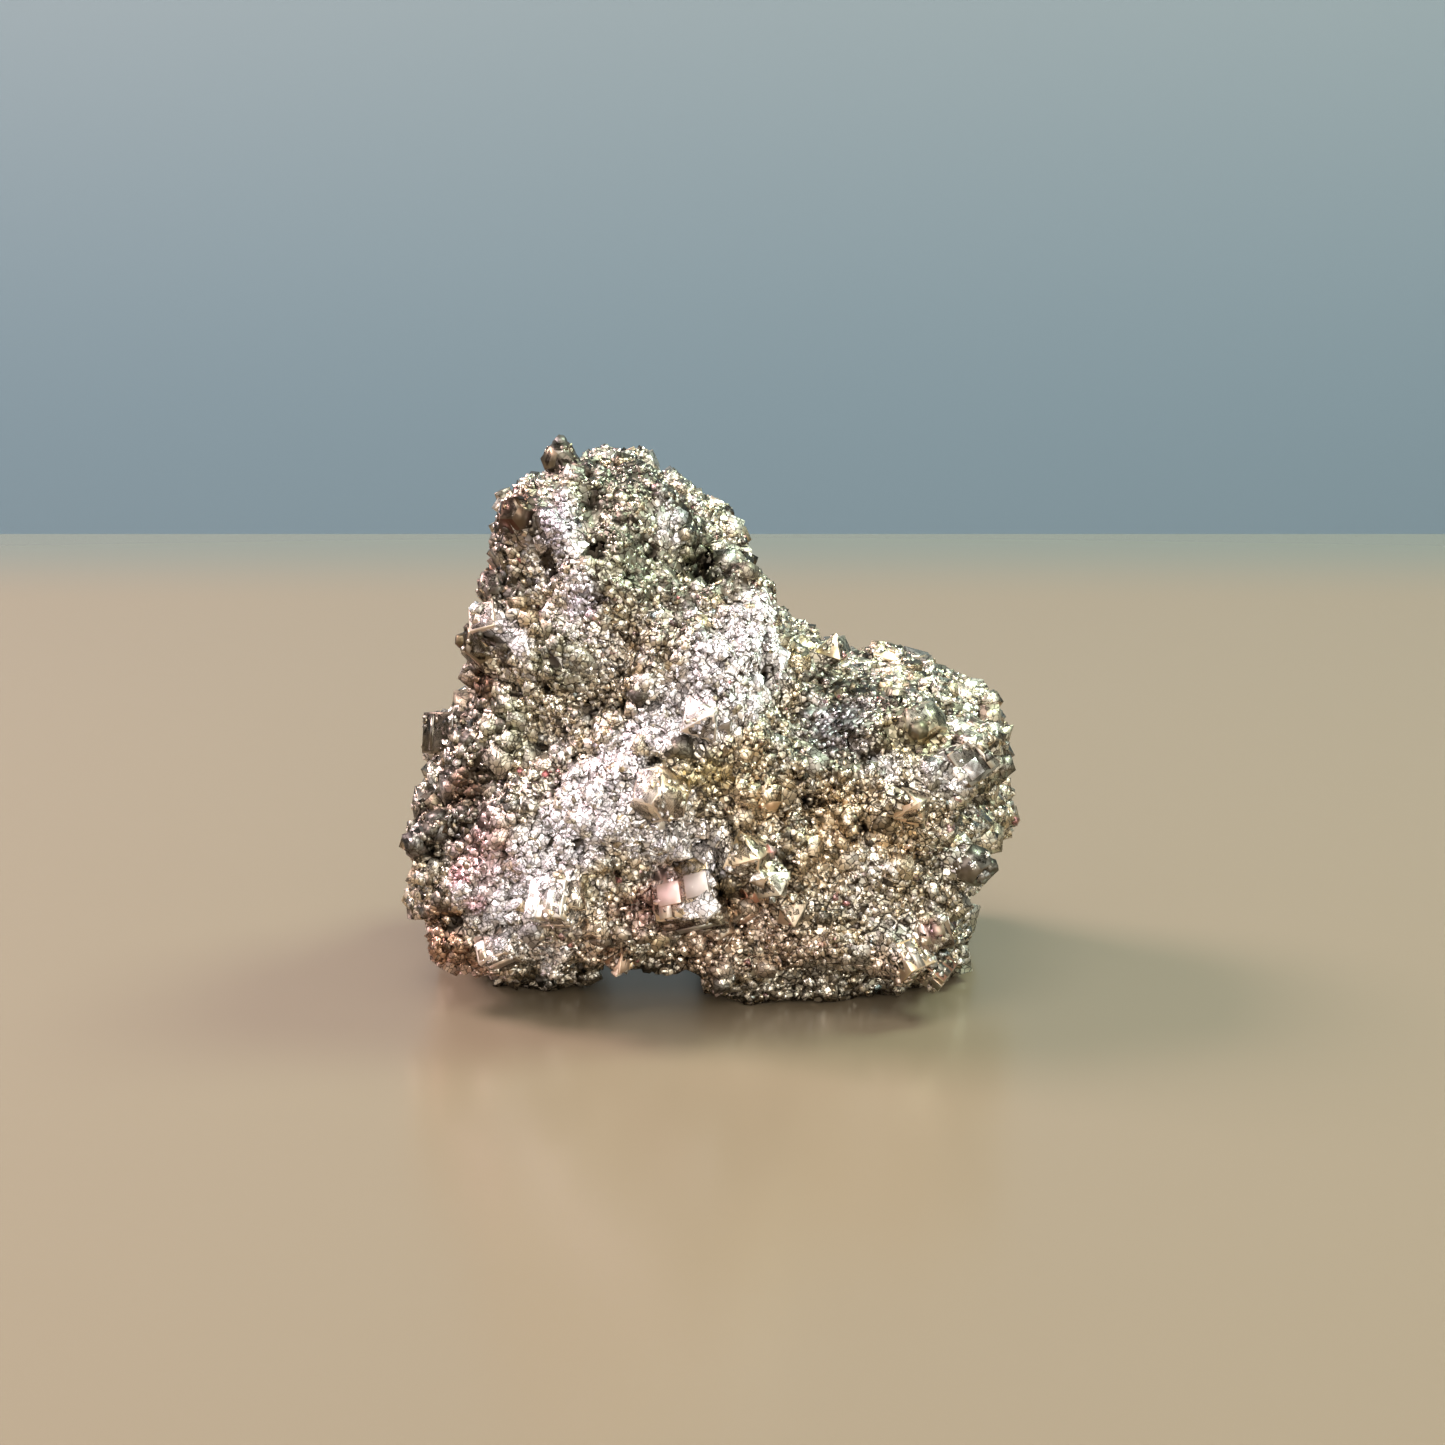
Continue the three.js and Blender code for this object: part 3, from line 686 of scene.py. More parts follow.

# Where the crust is bright: its grains turn the same way round, and their colour goes to a near-white painted
# highlight with less metal. Each: a path, how far from it, how much so, and the way they face, if one.
LEFTWARD, RIGHTWARD, NO_WAY = (-0.52, -0.53, 0.67), (0.38, -0.52, 0.76), (0, 0, 0)
BRIGHT = [
    ([(-18, -15.5, 12), (-15, -16, 15), (-11, -16, 20)], 3.8, 1, LEFTWARD),
    ([(-11, -16, 20), (-6.5, -16, 24.5), (-2.5, -16, 28)], 3.6, 1, LEFTWARD),
    ([(-3, -16, 29), (0, -16, 32), (5, -11, 37)], 3.2, 0.9, LEFTWARD),
    ([(0, -17, 30), (7, -9, 33)], 3.2, 0.9, LEFTWARD),
    ([(-15, -12, 25)], 2.4, 0.5, LEFTWARD),
    ([(-20.5, -14.3, 10.5), (-17, -14, 7)], 2.0, 0.4, LEFTWARD),
    ([(-18, -15, 6), (-14, -15, 6)], 2.0, 0.4, LEFTWARD),
    ([(-13, -8, 47), (-12, -11, 43), (-11, -12, 38)], 1.6, 0.5, LEFTWARD),
    ([(-3, -7, 44)], 1.8, 0.6, RIGHTWARD),
    ([(-18, -9, 35)], 2, 1, LEFTWARD),
    ([(-1, -12, 38)], 1.0, 0.6, LEFTWARD),
    ([(-5.5, -17, 24)], 2, 0.9, LEFTWARD),
    ([(-11, -17, 10)], 2.2, 0.5, LEFTWARD),
    ([(-4, -17, 18), (-1, -14, 16)], 3.4, 0.9, LEFTWARD),
    ([(-2.8, -17, 24), (-2, -17, 22.5)], 2.2, 0.6, LEFTWARD),
    ([(18, -12.5, 23.5), (21.5, -13, 22.5)], 1.9, 0.7, RIGHTWARD),
    ([(22, -12, 15)], 1.5, 0.4, RIGHTWARD),
    ([(17, -15, 8)], 1.6, 0.5, RIGHTWARD),
    ([(15, -15, 5)], 2.0, 0.3, RIGHTWARD),
    ([(-2, -14, 8)], 2.4, 0.3, RIGHTWARD),
    ([(-22, -11, 3), (-17, -10, 2.5)], 1.8, 0.6, LEFTWARD),
    ([(24.5, -10, 10.5)], 1.6, 0.4, RIGHTWARD),
    ([(-12.5, -12, 36), (-12, -12, 33), (-9, -12.5, 34)], 2.3, 0.45, LEFTWARD),
    ([(-14, -14.5, 6.5)], 1.8, 0.45, LEFTWARD),
    ([(1, -13, 9), (5, -14, 8.5)], 1.8, 0.45, RIGHTWARD),
    ([(10, -14.5, 14), (14.5, -14.5, 14.5)], 2.4, 0.4, RIGHTWARD),
    ([(-14.5, -13.5, 3.5)], 2, 0.5, LEFTWARD),
    ([(-15.5, -10, 42)], 1.6, 0.4, LEFTWARD),
    ([(25.5, -8, 18)], 1.5, 0.45, RIGHTWARD),
    ([(8, 14, 30), (-6, 15, 18), (-18, 11, 8)], 4, 0.7, NO_WAY),
]

# Where the crust is darker, partly a duller tone and partly painted shade: a path, how far from it, and how
# much so.
DULL_AND_SHADED = [
    ([(-23, -2, 25), (-21, -8, 22), (-21, -12, 18), (-25, -8, 17)], 4.2, 0.92),
    ([(-10, -8, 46), (-4, -9, 42), (0, -10, 39)], 8, 0.6),
    ([(-14, -1, 49), (-8, -2, 49), (-1, -5, 44), (2, -7, 40)], 2.6, 0.6),
    ([(-23, -2, 24)], 1.8, 0.6),
    ([(-17, -8, 46), (-19, -3, 40), (-19, -4, 37.5), (-20, -3, 29)], 2.6, 0.92),
    ([(-18, -8, 33)], 1.3, 1),
    ([(-3, -11, 40)], 1.4, 0.6),
    ([(-4, -12, 38.5), (0, -10, 38)], 1.7, 0.5),
    ([(4.5, -14.5, 30)], 1.6, 0.5),
    ([(-7, -11, 42)], 2.0, 0.35),
    ([(-10, -13, 39)], 1.5, 0.8),
    ([(-9, -4, 48), (-9, -9, 45)], 2, 0.4),
    ([(-14, 0, 49), (-9, -2, 49), (-2, -4, 46)], 3.4, 0.6),
    ([(2, -8, 40), (5, -6, 37)], 2.4, 0.5),
    ([(0, -15, 36)], 1.1, 0.8),
    ([(-10, -11, 28)], 1.3, 1),
    ([(13, -7, 27.5), (12, -12, 24), (15, -10, 25)], 4.4, 0.78),
    ([(17, -4, 29.5), (13, -4, 30)], 3.0, 0.9),
    ([(11.5, -11, 25.5)], 2, 0.5),
    ([(-24, -10, 17), (-25, -7, 19)], 1.8, 0.8),
    ([(8.2, -15.5, 18)], 1.4, 0.8),
    ([(27, -3, 25), (28, -5, 20)], 3, 0.3),
    ([(-1.2, -16.3, 24.5)], 0.8, 0.6),
    ([(0.5, -15, 16)], 1.8, 0.7),
    ([(4.5, -15, 14), (2, -14, 13)], 1.6, 0.6),
    ([(-18.5, -5, 39), (-17.5, -8, 39)], 2.4, 0.9),
    ([(-20, -14, 8)], 2.0, 0.25),
    ([(-5, -16, 14)], 1.1, 0.9),
    ([(-8, -16, 9)], 1.6, 0.6),
    ([(-13, -17, 9)], 1.3, 0.5),
    ([(23.4, -13, 22.4)], 1.9, 0.9),
    ([(14.7, -15, 9.6)], 1.6, 0.6),
    ([(20.5, -14, 7)], 2.6, 0.8),
    ([(-21, -14, 12.5), (-19, -14.5, 10.7)], 1.7, 0.5),
    ([(23.1, -11.3, 14.1)], 2.0, 0.8),
    ([(24.5, -5, 25.8), (26, -5, 23)], 2.6, 0.7),
    ([(-13.6, 0, 50)], 2.5, 0.7),
    ([(2, -14, 3)], 2, 0.5),
    ([(25, -8, 23)], 2.6, 0.5),
    ([(25, -11, 14), (27, -5, 13)], 3.0, 0.35),
    ([(-14.5, -9, 45)], 2, 0.3),
    ([(-25, -12, 10), (-23, -13, 7), (-20, -5, 0)], 1.6, 0.35),
    ([(2, 15, 28), (14, 12, 20)], 3, 0.6),
    ([(-14, 10, 38)], 3, 0.6),
]


def under(mark, places):
    """How far each place is under a mark, from 0 to 1: its share, fading over its reach, with distances
    measured on the lump without relief."""
    path, reach, share = mark[:3]
    plain, on_surface = (plain_surface(unit(np.array(each, float) - HEART)) for each in (places, path))
    return share * np.exp(-((gap_to_path(plain, on_surface) / reach) ** 4))


def brightness(places):
    """How bright the crust is at each place, from 0 to 1, which sets its painted highlight, and the way it
    faces there, no longer than 1.
    """
    free, ways = np.ones(len(places)), np.zeros((len(places), 3))
    for mark in BRIGHT:
        share = under(mark, places)
        free *= 1 - share
        ways += share[:, None] * (np.array(mark[3]) - ways)
    return 1 - free, ways


def dullness_and_shade(places):
    """How dark the crust is at each place, from 0 to 1: partly a duller tone and partly painted shade."""
    return 1 - np.prod([1 - under(mark, places) for mark in DULL_AND_SHADED], axis=0)


def zone_size(places):
    """The size factor at each place: a mean of the zones' factors and 1, weighted by bell curves of the
    distance to each zone."""
    total, weights = np.full(len(places), ELSEWHERE), np.full(len(places), ELSEWHERE)
    for centre, reach, factor in GRAIN_ZONES:
        weight = np.exp(-((np.linalg.norm(places - centre, axis=1) / reach) ** 2))
        total += weight * factor
        weights += weight
    return total / weights


def spread_over(points, loops, density, count, random):
    """Random places on a grid of four-sided faces, as many to each face as its area times its density gives.
    Returns the places, the faces' outward normals and which faces they are on."""
    ring = points[loops.reshape(-1, 4)]
    cross = np.cross(ring[:, 2] - ring[:, 0], ring[:, 3] - ring[:, 1])
    area = np.linalg.norm(cross, axis=1) / 2
    weight = np.cumsum(area * density)
    face = np.searchsorted(weight, random.random(count) * weight[-1])
    u, v = random.random((2, count, 1))
    a, b, c, d = np.moveaxis(ring[face], 1, 0)
    return (a * (1 - u) + b * u) * (1 - v) + (d * (1 - u) + c * u) * v, unit(cross[face] + 1e-12), face


def leaning(normals, lean, random):
    """Turning matrices that point each grain's own Z along its normal, give or take a lean, and spin it."""
    out = unit(normals + lean[:, None] * random.normal(size=normals.shape))
    across = unit(np.cross(random.normal(size=normals.shape), out))
    return np.stack([across, np.cross(out, across), out], -1)


def own_cells(sides, copies, first, total):
    """A map that gives each copy of a form a small square of its own, with its faces stacked in the square
    so that each copy is painted one colour."""
    across = math.ceil(math.sqrt(total))
    number = first + np.repeat(np.arange(copies), sides.sum())
    around = np.concatenate([np.arange(side) / side * 2 * np.pi for side in sides])
    within = np.tile(np.stack([np.cos(around), np.sin(around)], 1), (copies, 1)) * COPY_FILL + 0.5
    return (within + np.stack([number % across, number // across], 1)) / across


def bake_cells(parts):
    """The maps of all sets of copies, one after another."""
    copies = [len(places) for _, _, _, places, _ in parts]
    starts = np.cumsum([0] + copies)
    maps = [own_cells(part[0].sides, n, start, sum(copies)) for part, n, start in zip(parts, copies, starts)]
    return np.concatenate(maps)


def crystal_piece(name, parts, material, random=None):
    """One piece from sets of copies of crystal forms, with films spread over its faces by chance if a source
    of chance is given."""
    corners, loops, sides, looks = merged(parts)
    films = None if random is None else random.random(len(sides))
    return mesh_piece(name, corners, loops, sides, material, looks, bake_cells(parts), films)


def crust_grains(growth):
    """Sets of copies for the grains of each region: for every grain a place on the mass, a size, a habit, a
    turn, and how it looks, worked out all at once and then shared out to the regions."""
    random = np.random.default_rng(growth.seed + 1)
    mass = mass_mesh(growth.cells)
    faces = mass.loops.reshape(-1, 4)
    high = np.where(mass.points[faces].mean(1)[:, 2] < GRAINS.lowest, 0.0, 1.0)
    hollow = mass.hollow[faces].mean(1)
    density = high * np.where(mass.bare[faces].any(1), GRAINS.on_crystals, 1 - GRAINS.thinning * hollow)
    places, normals, face = spread_over(mass.points, mass.loops, density, growth.grains, random)
    count = len(places)

    size = growth.grain_size * 1000 * zone_size(places) * np.exp(random.normal(0, GRAINS.variety, count))
    size = np.where(random.random(count) < growth.large_share, size * GRAINS.larger, size)
    size = np.clip(size, GRAINS.least, GRAINS.most)
    size = np.where(beside_crystals(places), np.minimum(size, GRAINS.most_beside), size)
    bounds = np.cumsum([share for share, _ in GRAIN_HABITS.values()])[:-1]
    habit = np.array(list(GRAIN_HABITS))[np.searchsorted(bounds, random.random(count), side="right")]

    lean = np.where(random.random(count) < growth.stray, GRAINS.any_way, growth.lean)
    bright, ways = brightness(places)
    along = np.linalg.norm(ways, axis=1)
    facing = unit(normals * (1 - along[:, None]) + ways)
    turns = leaning(facing, lean + along * (GRAINS.common_lean - lean), random)
    places = places + normals * (size * random.uniform(*GRAINS.sunk, count))[:, None]
    kept = (places[:, 2] > size * GRAINS.floor_gap) & ~in_arch(places, size * GRAINS.arch_gap)

    tone, gloss, hue, fade = random.random((count, 7)).T[:4]  # seven are drawn, and four are used
    marks = gloss < GRAINS.in_marks
    # A grain's tone takes painted shade in its hollow, and under the dark marks partly a duller tone and
    # partly painted shade.
    tone = tone * ((1 - GRAINS.hollow_shading * hollow[face]) * (1 - GRAINS.darkening * dullness_and_shade(places)))
    hue = np.where(size > GRAINS.plain_above, hue * GRAINS.plain_hue, hue)
    bright = np.clip((1 + GRAINS.fading) * bright - GRAINS.fading * fade, 0, 1) * marks
    looks = np.column_stack([tone, gloss, hue, bright, ways * marks[:, None]])

    centres = np.array(list(REGIONS.values()), float)
    region = np.linalg.norm(places[:, None] - centres, axis=2).argmin(1)
    stretch = np.exp(random.normal(0, GRAINS.stretch, (count, 3)))
    for number, name in enumerate(REGIONS):
        parts = []
        for kind, (_, widening) in GRAIN_HABITS.items():
            own = (habit == kind) & kept & (region == number)
            sizes = size[own, None] * stretch[own] * widening
            parts.append((PLAIN_FORMS[kind], turns[own], sizes, places[own], looks[own]))
        yield name, parts


# ---------------------------------------------------------------------------------------------------------
# Materials
# ---------------------------------------------------------------------------------------------------------


def add(tree, kind, **settings):
    """Adds a shader node and makes its settings."""
    new = tree.nodes.new(kind)
    for key, value in settings.items():
        setattr(new, key, value)
    return new


def wire(tree, target, source):
    """Links an output to an input, or sets the input to a plain value."""
    if isinstance(source, bpy.types.NodeSocket):
        tree.links.new(target, source)
    else:
        target.default_value = source


def mixed_colour(tree, share, first, second, blend="MIX"):
    """A colour mix, by a share from 0 to 1."""
    new = add(tree, "ShaderNodeMix", data_type="RGBA", blend_type=blend)
    wire(tree, new.inputs["Factor"], share)
    wire(tree, new.inputs["A"], first)
    wire(tree, new.inputs["B"], second)
    return new.outputs["Result"]


def multiplied(tree, colour, factor):
    """A colour times another colour or a value."""
    return mixed_colour(tree, 1.0, colour, factor, "MULTIPLY")


def attribute(tree, name, output="Fac"):
    """A value that the mesh carries."""
    return add(tree, "ShaderNodeAttribute", attribute_name=name).outputs[output]


def object_position(tree):
    """Where a point is on the object."""
    return add(tree, "ShaderNodeTexCoord").outputs["Object"]


def vector_step(tree, operation, *values):
    """One step of arithmetic on vectors. The last value of SCALE is a plain number."""
    new = add(tree, "ShaderNodeVectorMath", operation=operation)
    sockets = (new.inputs[0], new.inputs["Scale"]) if operation == "SCALE" else new.inputs
    for socket, value in zip(sockets, values):
        wire(tree, socket, value)
    return new.outputs["Vector"]


def colour_ramp(tree, value, stops, interpolation="LINEAR"):
    """A colour looked up by a value from 0 to 1 among stops, each a place and a colour."""
    new = add(tree, "ShaderNodeValToRGB")
    wire(tree, new.inputs["Fac"], value)
    new.color_ramp.interpolation = interpolation
    elements = new.color_ramp.elements
    for end, (place, colour) in zip(elements, (stops[0], stops[-1])):
        end.position, end.color = place, (*colour, 1)
    for place, colour in stops[1:-1]:
        elements.new(place).color = (*colour, 1)
    return new.outputs["Color"]


def reckoned(tree, operation, first, second=0.0, third=0.0):
    """One step of arithmetic on values."""
    new = add(tree, "ShaderNodeMath", operation=operation)
    for socket, value in zip(new.inputs, (first, second, third)):
        wire(tree, socket, value)
    return new.outputs["Value"]


def ramped(tree, value, low, high, to_low=0.0, to_high=1.0):
    """A value taken smoothly from one range to another."""
    new = add(tree, "ShaderNodeMapRange", interpolation_type="SMOOTHSTEP")
    for socket, given in zip(new.inputs, (value, low, high, to_low, to_high)):
        wire(tree, socket, given)
    return new.outputs["Result"]


def group_tree(name, inputs, outputs):
    """An empty node group with named inputs and outputs, each with its kind and default."""
    tree = bpy.data.node_groups.new(name, "ShaderNodeTree")
    for label, kind, default in inputs:
        socket = tree.interface.new_socket(label, in_out="INPUT", socket_type=f"NodeSocket{kind}")
        if default is not None:
            socket.default_value = default
    for label, kind in outputs:
        tree.interface.new_socket(label, in_out="OUTPUT", socket_type=f"NodeSocket{kind}")
    return tree, add(tree, "NodeGroupInput").outputs, add(tree, "NodeGroupOutput").inputs


def use_group(tree, group, **values):
    """Places a group in a tree and returns its outputs. Underscores in names stand for spaces."""
    new = add(tree, "ShaderNodeGroup", node_tree=group)
    for key, value in values.items():
        wire(tree, new.inputs[key.replace("_", " ")], value)
    return new.outputs


# How far a seam between facets goes, as shares of a facet, and a patch of tint, as shares of its radius:
# where it ends, and where it is full.
SEAM_EDGE = (0.11, 0.02)
PATCH_EDGE = (1.0, 0.25)

# The share of a crease's near surroundings that is open where its painted shade starts, and where it is
# deepest.
CREASE_OPEN = (0.65, 0.2)

# Tarnish: the noise that makes the patches' edges ragged, and how much fainter the tint is on the painted
# highlight.
RAGGED = SimpleNamespace(scale=330, detail=3, amount=1.4)
TINT_ON_HIGHLIGHT = 0.8

# How far the bright parts go to the painted highlight's colour.
HIGHLIGHT_SHARE = 0.75

# The tone from which a crystal or grain is at its full brightness, and the stretch of tone over which the
# mass goes to its dark colour: painted shade in the hollows, and under the dark marks partly a duller tone
# and partly painted shade.
FULL_TONE = 0.25
TONE_TO_SHADING = (0.75, 0.2)

# The crust of the mass: the size of its coarse facets and how much less they tilt, the share of facets that
# are darker and how dark they get, and how dark the seams between the fine ones are.
CRUST_LOOK = SimpleNamespace(coarse=0.0012, coarse_tilt=0.5, darker=0.5, darkest=0.35, fine_seam=0.8)

# Facets on crystals and grains: their size in crinkles, how far they tilt and how dark their seams are. A
# share of them is darker, down to half as much as the seams.
CRYSTAL_FACETS, GRAIN_FACETS = (7, 0.12, 0.05), (1, 0.4, 0.85)
DARKER_FACETS = 0.4


def soft_patch_group():
    """A round patch with a ragged edge: 1 in its middle and 0 past its radius."""
    tree, given, out = group_tree(
        "Soft patch",
        [
            ("Position", "Vector", None),
            ("Ragged", "Float", 0.0),
            ("Centre", "Vector", None),
            ("Radius", "Float", 0.006),
        ],
        [("Mask", "Float")],
    )
    gap = add(tree, "ShaderNodeVectorMath", operation="DISTANCE")
    wire(tree, gap.inputs[0], given["Position"])
    wire(tree, gap.inputs[1], given["Centre"])
    share = reckoned(tree, "DIVIDE", gap.outputs["Value"], given["Radius"])
    wire(tree, out["Mask"], ramped(tree, reckoned(tree, "ADD", share, given["Ragged"]), *PATCH_EDGE))
    return tree


def facet_group():
    """Flat facets: space is cut into irregular cells of about a given size, and each cell tilts the normal
    its own way. Also gives how near a point is to the seam between two cells, and a chance value for each
    cell."""
    tree, given, out = group_tree(
        "Facets",
        [
            ("Position", "Vector", None),
            ("Normal", "Vector", None),
            ("Size", "Float", 0.0006),
            ("Tilt", "Float", 0.8),
        ],
        [("Normal", "Vector"), ("Seam", "Float"), ("Chance", "Float")],
    )
    scale = reckoned(tree, "DIVIDE", 1.0, given["Size"])
    warp = add(tree, "ShaderNodeTexNoise")
    wire(tree, warp.inputs["Vector"], given["Position"])
    wire(tree, warp.inputs["Scale"], scale)
    sizes = add(tree, "ShaderNodeCombineXYZ")
    for socket in sizes.inputs:
        wire(tree, socket, given["Size"])
    warped = vector_step(
        tree, "MULTIPLY_ADD", warp.outputs["Color"], sizes.outputs["Vector"], given["Position"]
    )
    cells = add(tree, "ShaderNodeTexVoronoi")
    seams = add(tree, "ShaderNodeTexVoronoi", feature="DISTANCE_TO_EDGE")
    for node in (cells, seams):
        wire(tree, node.inputs["Vector"], warped)
        wire(tree, node.inputs["Scale"], scale)
    level = vector_step(tree, "SUBTRACT", cells.outputs["Color"], (0.5, 0.5, 0.5))
    tilted = vector_step(tree, "ADD", vector_step(tree, "SCALE", level, given["Tilt"]), given["Normal"])
    wire(tree, out["Normal"], vector_step(tree, "NORMALIZE", tilted))
    wire(tree, out["Seam"], ramped(tree, seams.outputs["Distance"], *SEAM_EDGE))
    split = add(tree, "ShaderNodeSeparateXYZ")
    wire(tree, split.inputs["Vector"], cells.outputs["Color"])
    wire(tree, out["Chance"], split.outputs["X"])
    return tree


# Patches of tint as the centre in millimetres in the part's frame, the radius, and which colour.
PATCHES = [
    ((-18, -8, 46), 4, "rust"),
    ((-20, -3, 39), 4, "rust"),
    ((-21, -3, 29), 3.5, "rust"),
    ((-25, -13, 7), 4.5, "rust"),
    ((-22, -12, 4), 3.5, "rust"),
    ((-23, -9, 20), 3, "rust"),
    # Olive patches, here and on the back: partly the crust's own olive-grey and partly painted shade.
    ((-8, -11, 42), 5.5, "olive"),
    ((-2, -6, 41), 4, "olive"),
    ((-14, -12, 33), 5.5, "olive"),
    ((-10, -6, 48), 4, "olive"),
    ((-19, -9, 26), 4.5, "olive"),
    ((-3, -17, 24), 4.2, "gold"),
    ((4, -16, 21), 4.5, "amber"),
    ((12, -14, 19), 5, "amber"),
    ((17, -14, 18), 4, "amber"),
    ((18, -11, 25), 4.5, "gold"),
    ((10, -14, 15), 4.5, "amber"),
    ((-14, -11, 45), 4, "violet"),
    ((-12, -12, 39), 3, "violet"),
    ((11, -9, 26), 4.5, "violet"),
    # Rose and ruby patches: partly the crust's own colour and partly a painted pink reflection of the left
    # lamp.
    ((-21, -14, 16), 5, "rose"),
    ((-5, -15, 11), 5, "rose"),
    ((-19.5, -14.5, 16.5), 1.5, "ruby"),
    ((-23, -13, 13), 1.8, "ruby"),
    ((-21.5, -14, 10.8), 1.6, "ruby"),
    ((-19.5, -14, 7.5), 1.4, "ruby"),
    ((19.4, -14.5, 8.6), 1.5, "ruby"),
    ((-13, -16, 13), 2.6, "gold"),
    ((-11, -17, 9), 2.4, "amber"),
    ((-0.5, -16.5, 23.5), 3.4, "gold"),
    ((3, -16, 26), 3.4, "amber"),
    ((-10, -15, 7), 4, "umber"),
    ((-1, -13, 6), 5, "umber"),
    ((7, -15, 6), 5, "umber"),
    ((16, -15, 4), 5, "umber"),
    ((3, -13, 11), 5, "umber"),
    ((10, 15, 14), 9, "gold"),
    ((-14, 13, 26), 9, "olive"),
    ((24, 6, 20), 8, "copper"),
    ((-8, 10, 42), 8, "violet"),
]
TINTS = {
    "gold": (1.0, 0.87, 0.54, 1),
    "amber": (0.89, 0.70, 0.48, 1),
    "copper": (0.62, 0.37, 0.27, 1),
    "rose": (0.82, 0.53, 0.50, 1),
    "violet": (0.78, 0.72, 0.79, 1),
    "olive": (0.56, 0.56, 0.42, 1),
    "umber": (0.88, 0.68, 0.54, 1),
    "rust": (0.45, 0.24, 0.14, 1),
    "ruby": (0.70, 0.36, 0.39, 1),
}


def tarnish_group(patch):
    """The metal's colours all over: a clean colour and the painted highlight's colour, with the same patches
    of tint laid over them one by one. The tint is fainter on the painted highlight."""
    tree, given, out = group_tree(
        "Tarnish",
        [
            ("Position", "Vector", None),
            ("Clean", "Color", (0.6, 0.54, 0.43, 1)),
            ("Frost", "Color", (0.9, 0.9, 0.9, 1)),
            ("Strength", "Float", 0.7),
        ],
        [("Clean", "Color"), ("Frost", "Color")],
    )
    noise = add(tree, "ShaderNodeTexNoise", normalize=True)
    wire(tree, noise.inputs["Vector"], given["Position"])
    noise.inputs["Scale"].default_value = RAGGED.scale
    noise.inputs["Detail"].default_value = RAGGED.detail
    ragged = reckoned(tree, "MULTIPLY_ADD", noise.outputs["Fac"], RAGGED.amount, -RAGGED.amount / 2)
    clean, frost = given["Clean"], given["Frost"]
    for centre, radius, tint in PATCHES:
        place = tuple(c / 1000 for c in centre)
        here = use_group(
            tree, patch, Position=given["Position"], Ragged=ragged, Radius=radius / 1000, Centre=place
        )
        share = reckoned(tree, "MULTIPLY", here["Mask"], given["Strength"])
        clean = mixed_colour(tree, share, clean, TINTS[tint])
        frost = mixed_colour(tree, reckoned(tree, "MULTIPLY", share, TINT_ON_HIGHLIGHT), frost, TINTS[tint])
    wire(tree, out["Clean"], clean)
    wire(tree, out["Frost"], frost)
    return tree


def crease_shade(tree, reach):
    """How deep in a crease between grains a point is, from 0 in the open to 1: the share of its near
    surroundings, within a reach, that is filled. The metals paint shade into each crease by it."""
    new = add(tree, "ShaderNodeAmbientOcclusion", samples=4)
    new.inputs["Distance"].default_value = reach
    return ramped(tree, new.outputs["AO"], *CREASE_OPEN)


def grown_normal(tree, finish):
    """The surface's normal, drawn towards the way the crust faces."""
    way = attribute(tree, "way", "Vector")
    normal = add(tree, "ShaderNodeNewGeometry").outputs["Normal"]
    return vector_step(
        tree, "NORMALIZE", vector_step(tree, "MULTIPLY_ADD", way, (finish.common_way,) * 3, normal)
    )


def highlighted(tree, finish, colour, frost):
    """A colour drawn towards the painted highlight's colour where the crust is bright, and how metallic it is
    there.
    """
    bright = attribute(tree, "bright")
    drawn = mixed_colour(tree, reckoned(tree, "MULTIPLY", bright, HIGHLIGHT_SHARE), colour, frost)
    return drawn, ramped(tree, bright, 0, 1, 1, finish.bare)


def new_material(name):
    """A material with only its output and a Principled BSDF."""
    material = bpy.data.materials.new(name)
    material.use_nodes = True
    tree = material.node_tree
    tree.nodes.clear()
    shader = add(tree, "ShaderNodeBsdfPrincipled")
    tree.links.new(add(tree, "ShaderNodeOutputMaterial").inputs["Surface"], shader.outputs["BSDF"])
    return material, tree, shader.inputs


# The hues of crystals and grains, by where each stands between 0 and 1.
HUES = [
    (0.0, "warm"),
    (0.35, "clean"),
    (0.93, "silver"),
    (0.96, "pink"),
    (0.975, "red"),
    (0.985, "silver"),
    (1.0, "teal"),
]

# Films on single faces of the larger crystals, which colour the metal: where each starts between 0 and 1.
FILMS = [
    (0.0, (1, 1, 1)),
    (0.46, (0.97, 0.86, 0.82)),
    (0.62, (0.72, 0.60, 0.52)),
    (0.74, (0.98, 0.90, 0.74)),
    (0.84, (0.62, 0.66, 0.68)),
    (0.96, (0.70, 0.45, 0.42)),
]


